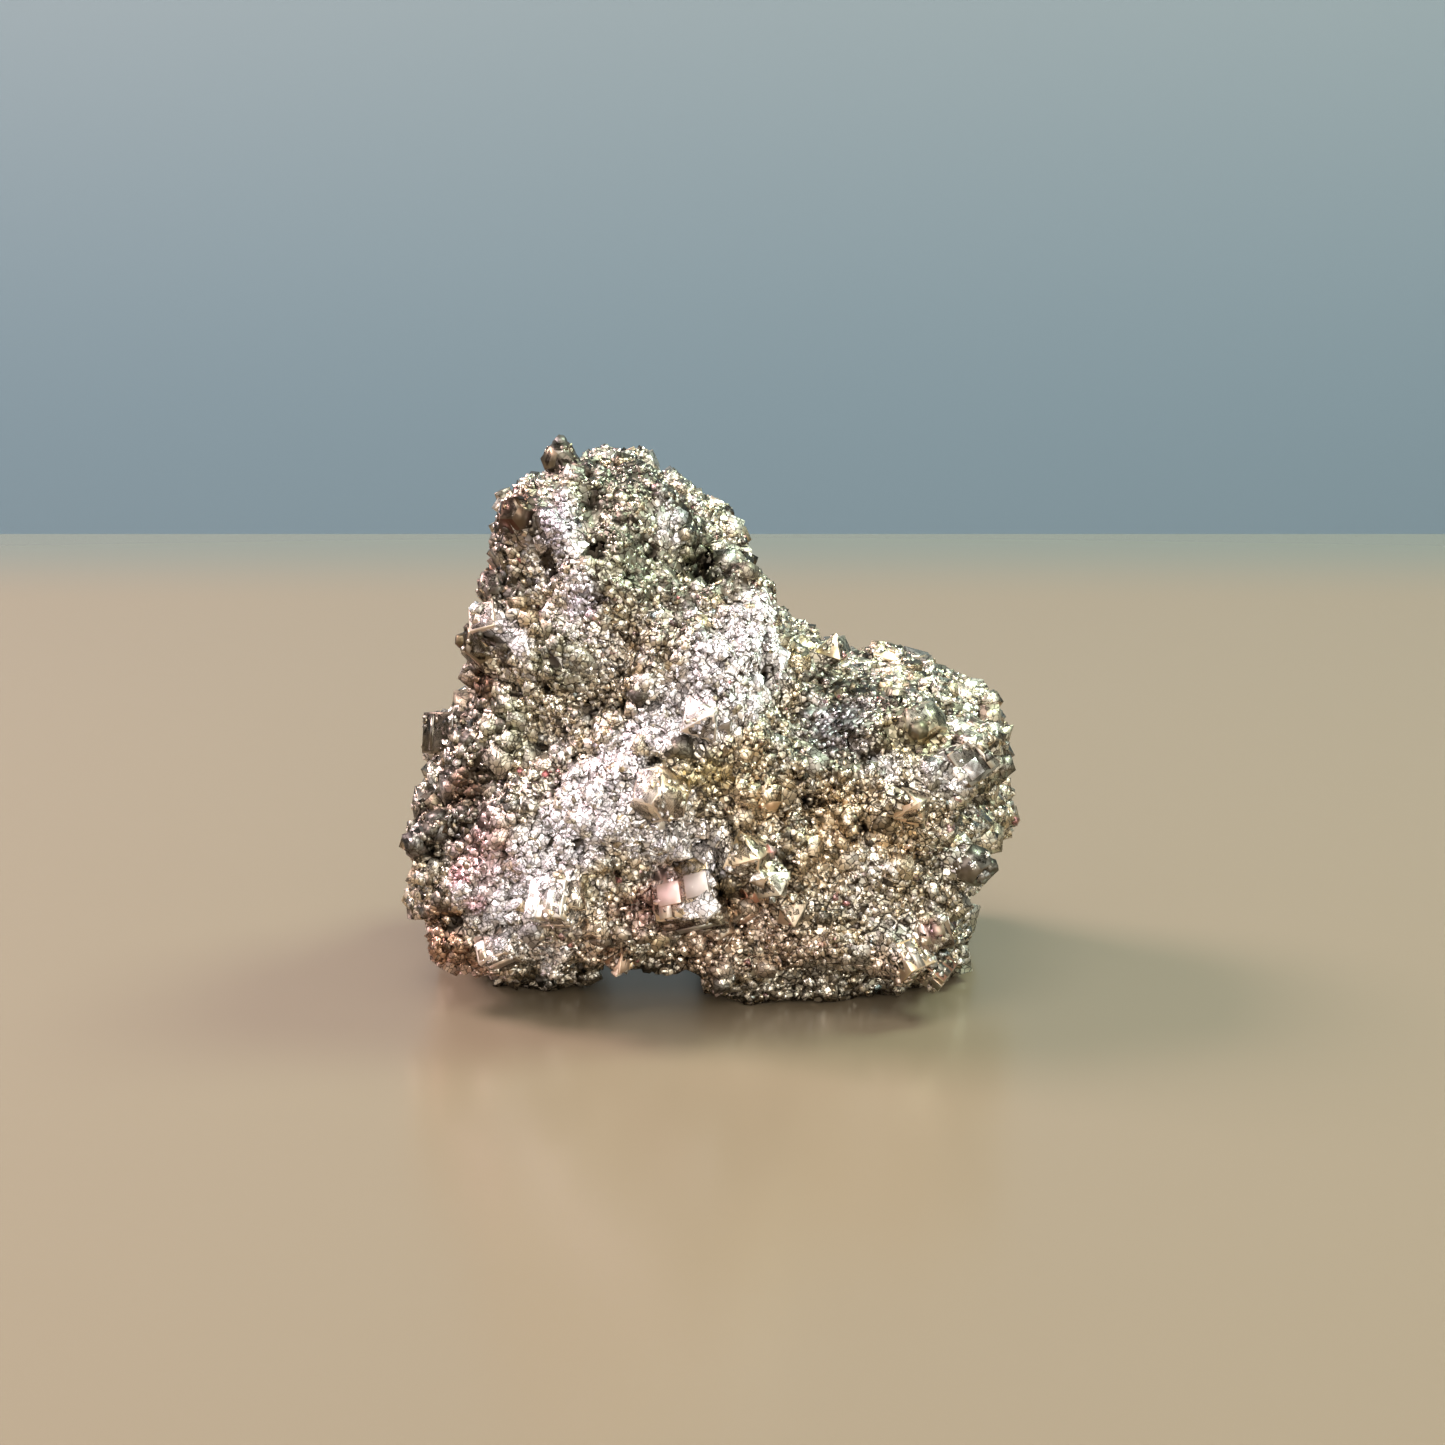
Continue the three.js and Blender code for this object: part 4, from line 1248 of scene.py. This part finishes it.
def crystal_metal(name, tarnish, facets, finish, look):
    """Bright metal whose tone, gloss and hue change from crystal to crystal. Its faces are crinkled into
    facets of a given size and tilt, with seams of a given darkness between them, painted shade in each crease
    and a painted highlight where the crust is bright."""
    size, tilt, seam = look
    material, tree, shader = new_material(name)
    position = object_position(tree)
    hue = colour_ramp(tree, attribute(tree, "hue"), [(place, getattr(finish, key)) for place, key in HUES])
    tinted = use_group(
        tree, tarnish, Position=position, Clean=hue, Frost=(*finish.frost, 1), Strength=finish.tarnish
    )
    # A tone is chance, darker under the dark marks (partly a duller tone, partly painted shade) and, for a
    # grain, in the painted shade of its hollow.
    shade = ramped(tree, attribute(tree, "tone"), 0.0, FULL_TONE, finish.darkest, 1.0)
    colour = multiplied(tree, tinted["Clean"], shade)
    colour = multiplied(tree, colour, colour_ramp(tree, attribute(tree, "film"), FILMS, "CONSTANT"))
    crinkled = use_group(
        tree, facets, Position=position, Normal=grown_normal(tree, finish), Size=size * finish.crinkle,
        Tilt=tilt,
    )
    facet_shade = ramped(tree, crinkled["Chance"], 0, DARKER_FACETS, 1 - seam / 2, 1)
    colour = multiplied(tree, colour, facet_shade)
    # Painted highlight where the crust is bright: a near-white colour with less metal.
    colour, metal = highlighted(tree, finish, colour, tinted["Frost"])
    seams = reckoned(tree, "MULTIPLY", crinkled["Seam"], seam)
    # Dark seams between the facets, and painted shade in the crease between grains.
    dark = reckoned(tree, "MAXIMUM", seams, crease_shade(tree, finish.crease))
    gloss = attribute(tree, "gloss")
    wire(tree, shader["Metallic"], metal)
    wire(tree, shader["Base Color"], mixed_colour(tree, dark, colour, (*finish.grime, 1)))
    wire(tree, shader["Roughness"], ramped(tree, gloss, 0, 1, finish.sharpest, finish.dullest))
    wire(tree, shader["Normal"], crinkled["Normal"])
    return material


def crust_metal(name, tarnish, facets, finish):
    """The metal of the mass itself: two sizes of facets, dark seams between them, and painted shade in the
    hollows, in each crease and under the dark marks.
    """
    material, tree, shader = new_material(name)
    position = object_position(tree)
    coarse = use_group(
        tree, facets, Position=position, Normal=grown_normal(tree, finish), Size=CRUST_LOOK.coarse,
        Tilt=CRUST_LOOK.coarse_tilt * finish.tilt,
    )
    fine = use_group(
        tree, facets, Position=position, Normal=coarse["Normal"], Size=finish.crinkle, Tilt=finish.tilt
    )
    tinted = use_group(
        tree, tarnish, Position=position, Clean=(*finish.clean, 1), Frost=(*finish.frost, 1),
        Strength=finish.tarnish,
    )
    shade = ramped(tree, fine["Chance"], 0.0, CRUST_LOOK.darker, CRUST_LOOK.darkest, 1.0)
    # Painted highlight where the crust is bright, as on the crystals.
    colour, metal = highlighted(tree, finish, multiplied(tree, tinted["Clean"], shade), tinted["Frost"])
    fine_seam = reckoned(tree, "MULTIPLY", fine["Seam"], CRUST_LOOK.fine_seam)
    grime = reckoned(tree, "MAXIMUM", coarse["Seam"], fine_seam)
    # The mass's low tone goes to the dark colour: painted shade in its hollows, and under the dark marks
    # partly a duller tone and partly painted shade.
    grime = reckoned(tree, "MAXIMUM", grime, ramped(tree, attribute(tree, "tone"), *TONE_TO_SHADING))
    # Painted shade in the crease between grains.
    grime = reckoned(tree, "MAXIMUM", grime, crease_shade(tree, finish.crease))
    wire(tree, shader["Metallic"], metal)
    wire(tree, shader["Base Color"], mixed_colour(tree, grime, colour, (*finish.grime, 1)))
    wire(tree, shader["Roughness"], ramped(tree, fine["Chance"], 0, 1, finish.sharpest, finish.dullest))
    wire(tree, shader["Normal"], fine["Normal"])
    return material


def stage_finish(name, near_colour, far_colour, sheet):
    """A plain matt or satin finish for a stage sheet, which goes softly from one colour to another."""
    material, tree, shader = new_material(name)
    place = add(tree, "ShaderNodeSeparateXYZ")
    wire(tree, place.inputs["Vector"], object_position(tree))
    share = ramped(tree, place.outputs[sheet.axis], *sheet.change)
    wire(tree, shader["Base Color"], mixed_colour(tree, share, (*near_colour, 1), (*far_colour, 1)))
    shader["Roughness"].default_value = sheet.roughness
    return material


# ---------------------------------------------------------------------------------------------------------
# Settings
# ---------------------------------------------------------------------------------------------------------


def colour_property(name, description, default):
    return bpy.props.FloatVectorProperty(
        name=name, description=description, default=default, subtype="COLOR", size=3, min=0, max=1
    )


def share_property(name, description, default):
    return bpy.props.FloatProperty(
        name=name, description=description, default=default, subtype="FACTOR", min=0, max=1
    )


def length_property(name, description, default):
    return bpy.props.FloatProperty(
        name=name, description=description, default=default, unit="LENGTH", precision=5
    )


def power_property(name, description, default):
    return bpy.props.FloatProperty(name=name, description=description, default=default, unit="POWER")


def number_property(name, description, default, most):
    return bpy.props.FloatProperty(name=name, description=description, default=default, min=0, max=most)


def count_property(name, description, default, least, most):
    return bpy.props.IntProperty(name=name, description=description, default=default, min=least, max=most)


class PyriteFinish(bpy.types.PropertyGroup):
    clean: colour_property("Clean", "Colour of an untarnished crystal", (0.80, 0.71, 0.57))
    warm: colour_property("Warm", "Colour of a brassy crystal", (0.74, 0.59, 0.39))
    silver: colour_property("Silver", "Colour of a paler crystal", (0.90, 0.85, 0.76))
    pink: colour_property("Pink", "Colour of a crystal with a pink film", (0.74, 0.52, 0.50))
    red: colour_property("Red", "Colour of a crystal with a red film", (0.50, 0.14, 0.14))
    teal: colour_property("Teal", "Colour of a crystal with a blue-green film", (0.42, 0.55, 0.56))
    # The near-white colour of the painted highlight in the bright marks, and how metallic it is there.
    frost: colour_property("Frost", "Colour of the frosted bright parts", (0.95, 0.91, 0.93))
    bare: share_property("Highlighted metal", "How metallic the frosted parts are", 0.8)
    # The colour of the dark seams, and of the painted shade in each crease and hollow and under the dark
    # marks.
    grime: colour_property("Shading", "Colour in the seams and hollows", (0.05, 0.04, 0.03))
    # How far the painted shade in a crease reaches.
    crease: length_property("Crease", "How near grains must stand for grime between them", 0.00022)
    crinkle: length_property("Crinkle", "Size of the facets on a grain's faces", 0.00055)
    common_way: number_property("Common way", "How strongly facets face the crust's way", 1.2, 4)
    tilt: number_property("Facet tilt", "How far the facets of the mass lean", 0.9, 2)
    tarnish: share_property("Tarnish", "How strongly patches of tint show", 0.85)
    darkest: share_property("Darkest", "Brightness of the dimmest crystals", 0.19)
    sharpest: share_property("Sharpest", "Roughness of the glossiest crystals", 0.2)
    dullest: share_property("Dullest", "Roughness of the dullest crystals", 0.5)


class PyriteGrowth(bpy.types.PropertyGroup):
    cells: count_property("Mass cells", "Cells along each side of the mass's grids", 112, 8, 128)
    companions: count_property("Companions", "Smaller crystals grown beside each larger one", 2, 0, 8)
    steps: count_property("Growth steps", "Bars and plates on each face of a large cube", 1, 0, 16)
    grains: count_property("Grains", "Number of grains in the crust", 26000, 100, 70000)
    grain_size: length_property("Grain size", "Middle size of a grain", 0.00066)
    large_share: share_property("Large grains", "Share of grains over twice as large", 0.04)
    lean: number_property("Lean", "How far grains lean away from square to the surface", 0.34, 2)
    stray: share_property("Stray", "Share of grains turned any way at all", 0.25)
    seed: count_property("Seed", "Seed of all that is random", 11, 0, 9999)


class PyriteStage(bpy.types.PropertyGroup):
    floor: colour_property("Floor", "Colour of the floor", (0.178, 0.141, 0.094))
    far_floor: colour_property("Far floor", "Colour of the floor's far edge", (0.118, 0.129, 0.108))
    wall: colour_property("Wall", "Colour of the wall behind", (0.182, 0.221, 0.235))
    low_wall: colour_property("Low wall", "Colour of the wall's foot", (0.115, 0.165, 0.195))
    left: power_property("Left light", "Power of the left light", 6.8)
    right: power_property("Right light", "Power of the right light", 4.7)
    top: power_property("Top light", "Power of the top light", 2.2)
    front: power_property("Front light", "Power of the front light", 1.15)
    room: number_property("Room light", "Strength of the light from all round", 1, 10)
    pane: number_property("Pane light", "Brightness of the room's panes of light", 2.5, 10)
    panes: number_property("Panes", "How many panes of light there are", 2.6, 20)


# ---------------------------------------------------------------------------------------------------------
# Operators
# ---------------------------------------------------------------------------------------------------------


def metals():
    """The three metal materials, made once."""
    names = ("Pyrite crystals", "Pyrite grains", "Pyrite crust")
    if not all(name in bpy.data.materials for name in names):
        finish = bpy.context.scene.pyrite_finish
        tarnish, facets = tarnish_group(soft_patch_group()), facet_group()
        crystal_metal(names[0], tarnish, facets, finish, CRYSTAL_FACETS)
        crystal_metal(names[1], tarnish, facets, finish, GRAIN_FACETS)
        crust_metal(names[2], tarnish, facets, finish)
    return [bpy.data.materials[name] for name in names]


class PYRITE_OT_mass(bpy.types.Operator):
    """Makes the mass that the crystals and grains grow on"""

    bl_idname = "pyrite.mass"
    bl_label = "Mass"

    def execute(self, context):
        mass = mass_mesh(context.scene.pyrite_growth.cells)
        # The mass's values are painted shade in its hollows, and under the dark marks partly a duller tone
        # and partly painted shade.
        clean = (1 - mass.hollow) * (1 - MASS_DARKENING * dullness_and_shade(mass.points))
        bright, ways = brightness(mass.points)
        looks = np.column_stack([clean, clean, clean, bright, ways])  # the mass has no own gloss or hue
        sides = np.full(len(mass.loops) // 4, 4)
        piece = mesh_piece("pyrite_mass", mass.points, mass.loops, sides, metals()[2], looks, mass.places)
        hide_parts("pyrite_cluster")
        return {"FINISHED"}


class PYRITE_OT_crystals(bpy.types.Operator):
    """Makes the larger crystals, with their companions and growth steps, and the scattered smaller ones"""

    bl_idname = "pyrite.crystals"
    bl_label = "Crystals"

    def execute(self, context):
        growth = context.scene.pyrite_growth
        random = np.random.default_rng(growth.seed)
        large = grown(placed_crystals(), random, growth.companions)
        large = marked(clear_of_floor(large + growth_steps(placed_crystals(), random, growth.steps)))
        crystal_piece("large_crystals", large, metals()[0], random)
        chosen = [values[:: SCATTER.one_in] for values in spiral_crystals()]
        small = marked(clear_of_floor(grown(chosen, random, 1)))
        crystal_piece("small_crystals", small, metals()[0], random)
        return {"FINISHED"}


class PYRITE_OT_grains(bpy.types.Operator):
    """Makes the crust of grains, region by region"""

    bl_idname = "pyrite.grains"
    bl_label = "Grains"

    def execute(self, context):
        for name, parts in crust_grains(context.scene.pyrite_growth):
            crystal_piece(f"grains_{name}", parts, metals()[1])
        return {"FINISHED"}


# The stage's sheets in metres: the (y, z) points across each, half its width, the axis along which its colour
# changes and the stretch where it does, and its roughness.
FLOOR = SimpleNamespace(
    profile=[(-1.4, 0), (0.182, 0)], half_width=1.6, axis="Y", change=(0.14, 0.182), roughness=0.24
)
WALL = SimpleNamespace(
    profile=[(0.45, -0.3), (0.45, 1.5)], half_width=2.2, axis="Z", change=(-0.05, 0.12), roughness=0.9
)

# The softboxes: each one's place and size in metres, and its colour. All are turned towards one point.
SOFTBOXES = {
    "left": ((-0.46, 0.14, 0.44), 0.22, (1, 0.78, 0.84)),
    "right": ((0.36, 0.14, 0.56), 0.2, (0.78, 1, 0.84)),
    "top": ((-0.10, -0.17, 0.62), 0.3, (1, 1, 1)),
    "front": ((0.10, -0.52, 0.26), 0.35, (1, 0.93, 0.84)),
}
LIT_POINT = (0, 0, 0.025)

# The camera, in millimetres: the point it aims at, how far off it is and how many degrees above level, how
# wide its view is there, and the width of its sensor.
CAMERA = SimpleNamespace(aim=(0.73, 0, 23.8), reach=330, rise=16, view=134.96, sensor=36)


def sheet_piece(name, sheet, material):
    """A stage sheet: a profile of (y, z) points in metres carried straight along X."""
    profile = np.array(sheet.profile, float)
    count = len(profile)
    sides = (-sheet.half_width, sheet.half_width)
    corners = np.concatenate([np.column_stack([np.full(count, side), profile]) for side in sides])
    step = np.arange(count - 1)
    rings = np.stack([step, step + count, step + count + 1, step + 1], 1)
    mesh = bpy.data.meshes.new(name)
    mesh.from_pydata(corners.tolist(), [], rings.tolist())
    mesh.materials.append(material)
    piece = bpy.data.objects.new(name, mesh)
    bpy.context.scene.collection.objects.link(piece)


def area_light(name, place, size, power, colour):
    """A square softbox at a place, turned towards the lit point."""
    data = bpy.data.lights.new(name, "AREA")
    data.size, data.energy, data.color = size, power, colour
    lamp = bpy.data.objects.new(name, data)
    lamp.location = place
    way = np.array(LIT_POINT, float) - np.array(place, float)
    down = math.acos(-way[2] / np.linalg.norm(way))
    lamp.rotation_euler = (down, 0, math.atan2(way[1], way[0]) - math.pi / 2)
    bpy.context.scene.collection.objects.link(lamp)


def front_camera():
    """The camera in front of the lump, looking a little down on it."""
    rise = math.radians(CAMERA.rise)
    data = bpy.data.cameras.new("Camera")
    data.sensor_width, data.lens = CAMERA.sensor, CAMERA.reach * CAMERA.sensor / CAMERA.view
    data.clip_start, data.clip_end = 0.01, 10
    camera = bpy.data.objects.new("Camera", data)
    x, y, z = (value / 1000 for value in CAMERA.aim)
    reach = CAMERA.reach / 1000
    camera.location = (x, y - reach * math.cos(rise), z + reach * math.sin(rise))
    camera.rotation_euler = (math.pi / 2 - rise, 0, 0)
    bpy.context.scene.collection.objects.link(camera)
    return camera


# The room's colour between the panes, the panes' colours on the left and on the right, how softly one side's
# goes over into the other's, how ragged the panes are, and how soft their edges.
ROOM = SimpleNamespace(
    dim=(0.27, 0.215, 0.15, 1), left=(1, 0.92, 0.95, 1), right=(0.94, 1, 0.94, 1), turn=(-0.6, 0.6),
    detail=1.5, edge=(0.5, 0.6),
)


def room_light(stage):
    """Light from all round: a dim room with large soft panes of light, warm on the left and cool on the
    right."""
    world = bpy.data.worlds.new("Room")
    world.use_nodes = True
    tree = world.node_tree
    way = add(tree, "ShaderNodeTexCoord").outputs["Generated"]
    cloud = add(tree, "ShaderNodeTexNoise")
    wire(tree, cloud.inputs["Vector"], way)
    cloud.inputs["Scale"].default_value = stage.panes
    cloud.inputs["Detail"].default_value = ROOM.detail
    pane = ramped(tree, cloud.outputs["Fac"], *ROOM.edge)
    across = add(tree, "ShaderNodeSeparateXYZ")
    wire(tree, across.inputs["Vector"], way)
    side = ramped(tree, across.outputs["X"], *ROOM.turn)
    light = multiplied(tree, mixed_colour(tree, side, ROOM.left, ROOM.right), (stage.pane,) * 3 + (1,))
    background = tree.nodes["Background"]
    wire(tree, background.inputs["Color"], mixed_colour(tree, pane, ROOM.dim, light))
    background.inputs["Strength"].default_value = stage.room
    return world


class PYRITE_OT_stage(bpy.types.Operator):
    """Makes the floor, the wall behind, the lights and the camera"""

    bl_idname = "pyrite.stage"
    bl_label = "Stage"

    def execute(self, context):
        scene = context.scene
        stage = scene.pyrite_stage
        sheet_piece("floor", FLOOR, stage_finish("Floor", stage.floor, stage.far_floor, FLOOR))
        sheet_piece("wall", WALL, stage_finish("Wall", stage.low_wall, stage.wall, WALL))
        for name, (place, size, colour) in SOFTBOXES.items():
            area_light(name.capitalize(), place, size, getattr(stage, name), colour)
        scene.world = room_light(stage)
        scene.view_settings.view_transform = "Standard"
        scene.camera = front_camera()
        return {"FINISHED"}


class PYRITE_PT_cluster(bpy.types.Panel):
    """The cluster's pieces and settings"""

    bl_label = "Pyrite Cluster"
    bl_idname = "PYRITE_PT_cluster"
    bl_space_type = "VIEW_3D"
    bl_region_type = "UI"
    bl_category = "Pyrite"

    def draw(self, context):
        for operator in OPERATORS:
            self.layout.operator(operator.bl_idname)
        for name in SETTINGS:
            group = getattr(context.scene, name)
            for key in type(group).__annotations__:
                self.layout.prop(group, key)


SETTINGS = {"pyrite_finish": PyriteFinish, "pyrite_growth": PyriteGrowth, "pyrite_stage": PyriteStage}
OPERATORS = (PYRITE_OT_mass, PYRITE_OT_crystals, PYRITE_OT_grains, PYRITE_OT_stage)
CLASSES = (*SETTINGS.values(), *OPERATORS, PYRITE_PT_cluster)


def register():
    for each in CLASSES:
        bpy.utils.register_class(each)
    for name, group in SETTINGS.items():
        setattr(bpy.types.Scene, name, bpy.props.PointerProperty(type=group))


def unregister():
    for name in SETTINGS:
        delattr(bpy.types.Scene, name)
    for each in reversed(CLASSES):
        bpy.utils.unregister_class(each)


def main():
    register()
    bpy.ops.pyrite.mass()
    bpy.ops.pyrite.crystals()
    bpy.ops.pyrite.grains()
    bpy.ops.pyrite.stage()


if __name__ == "__main__":
    main()
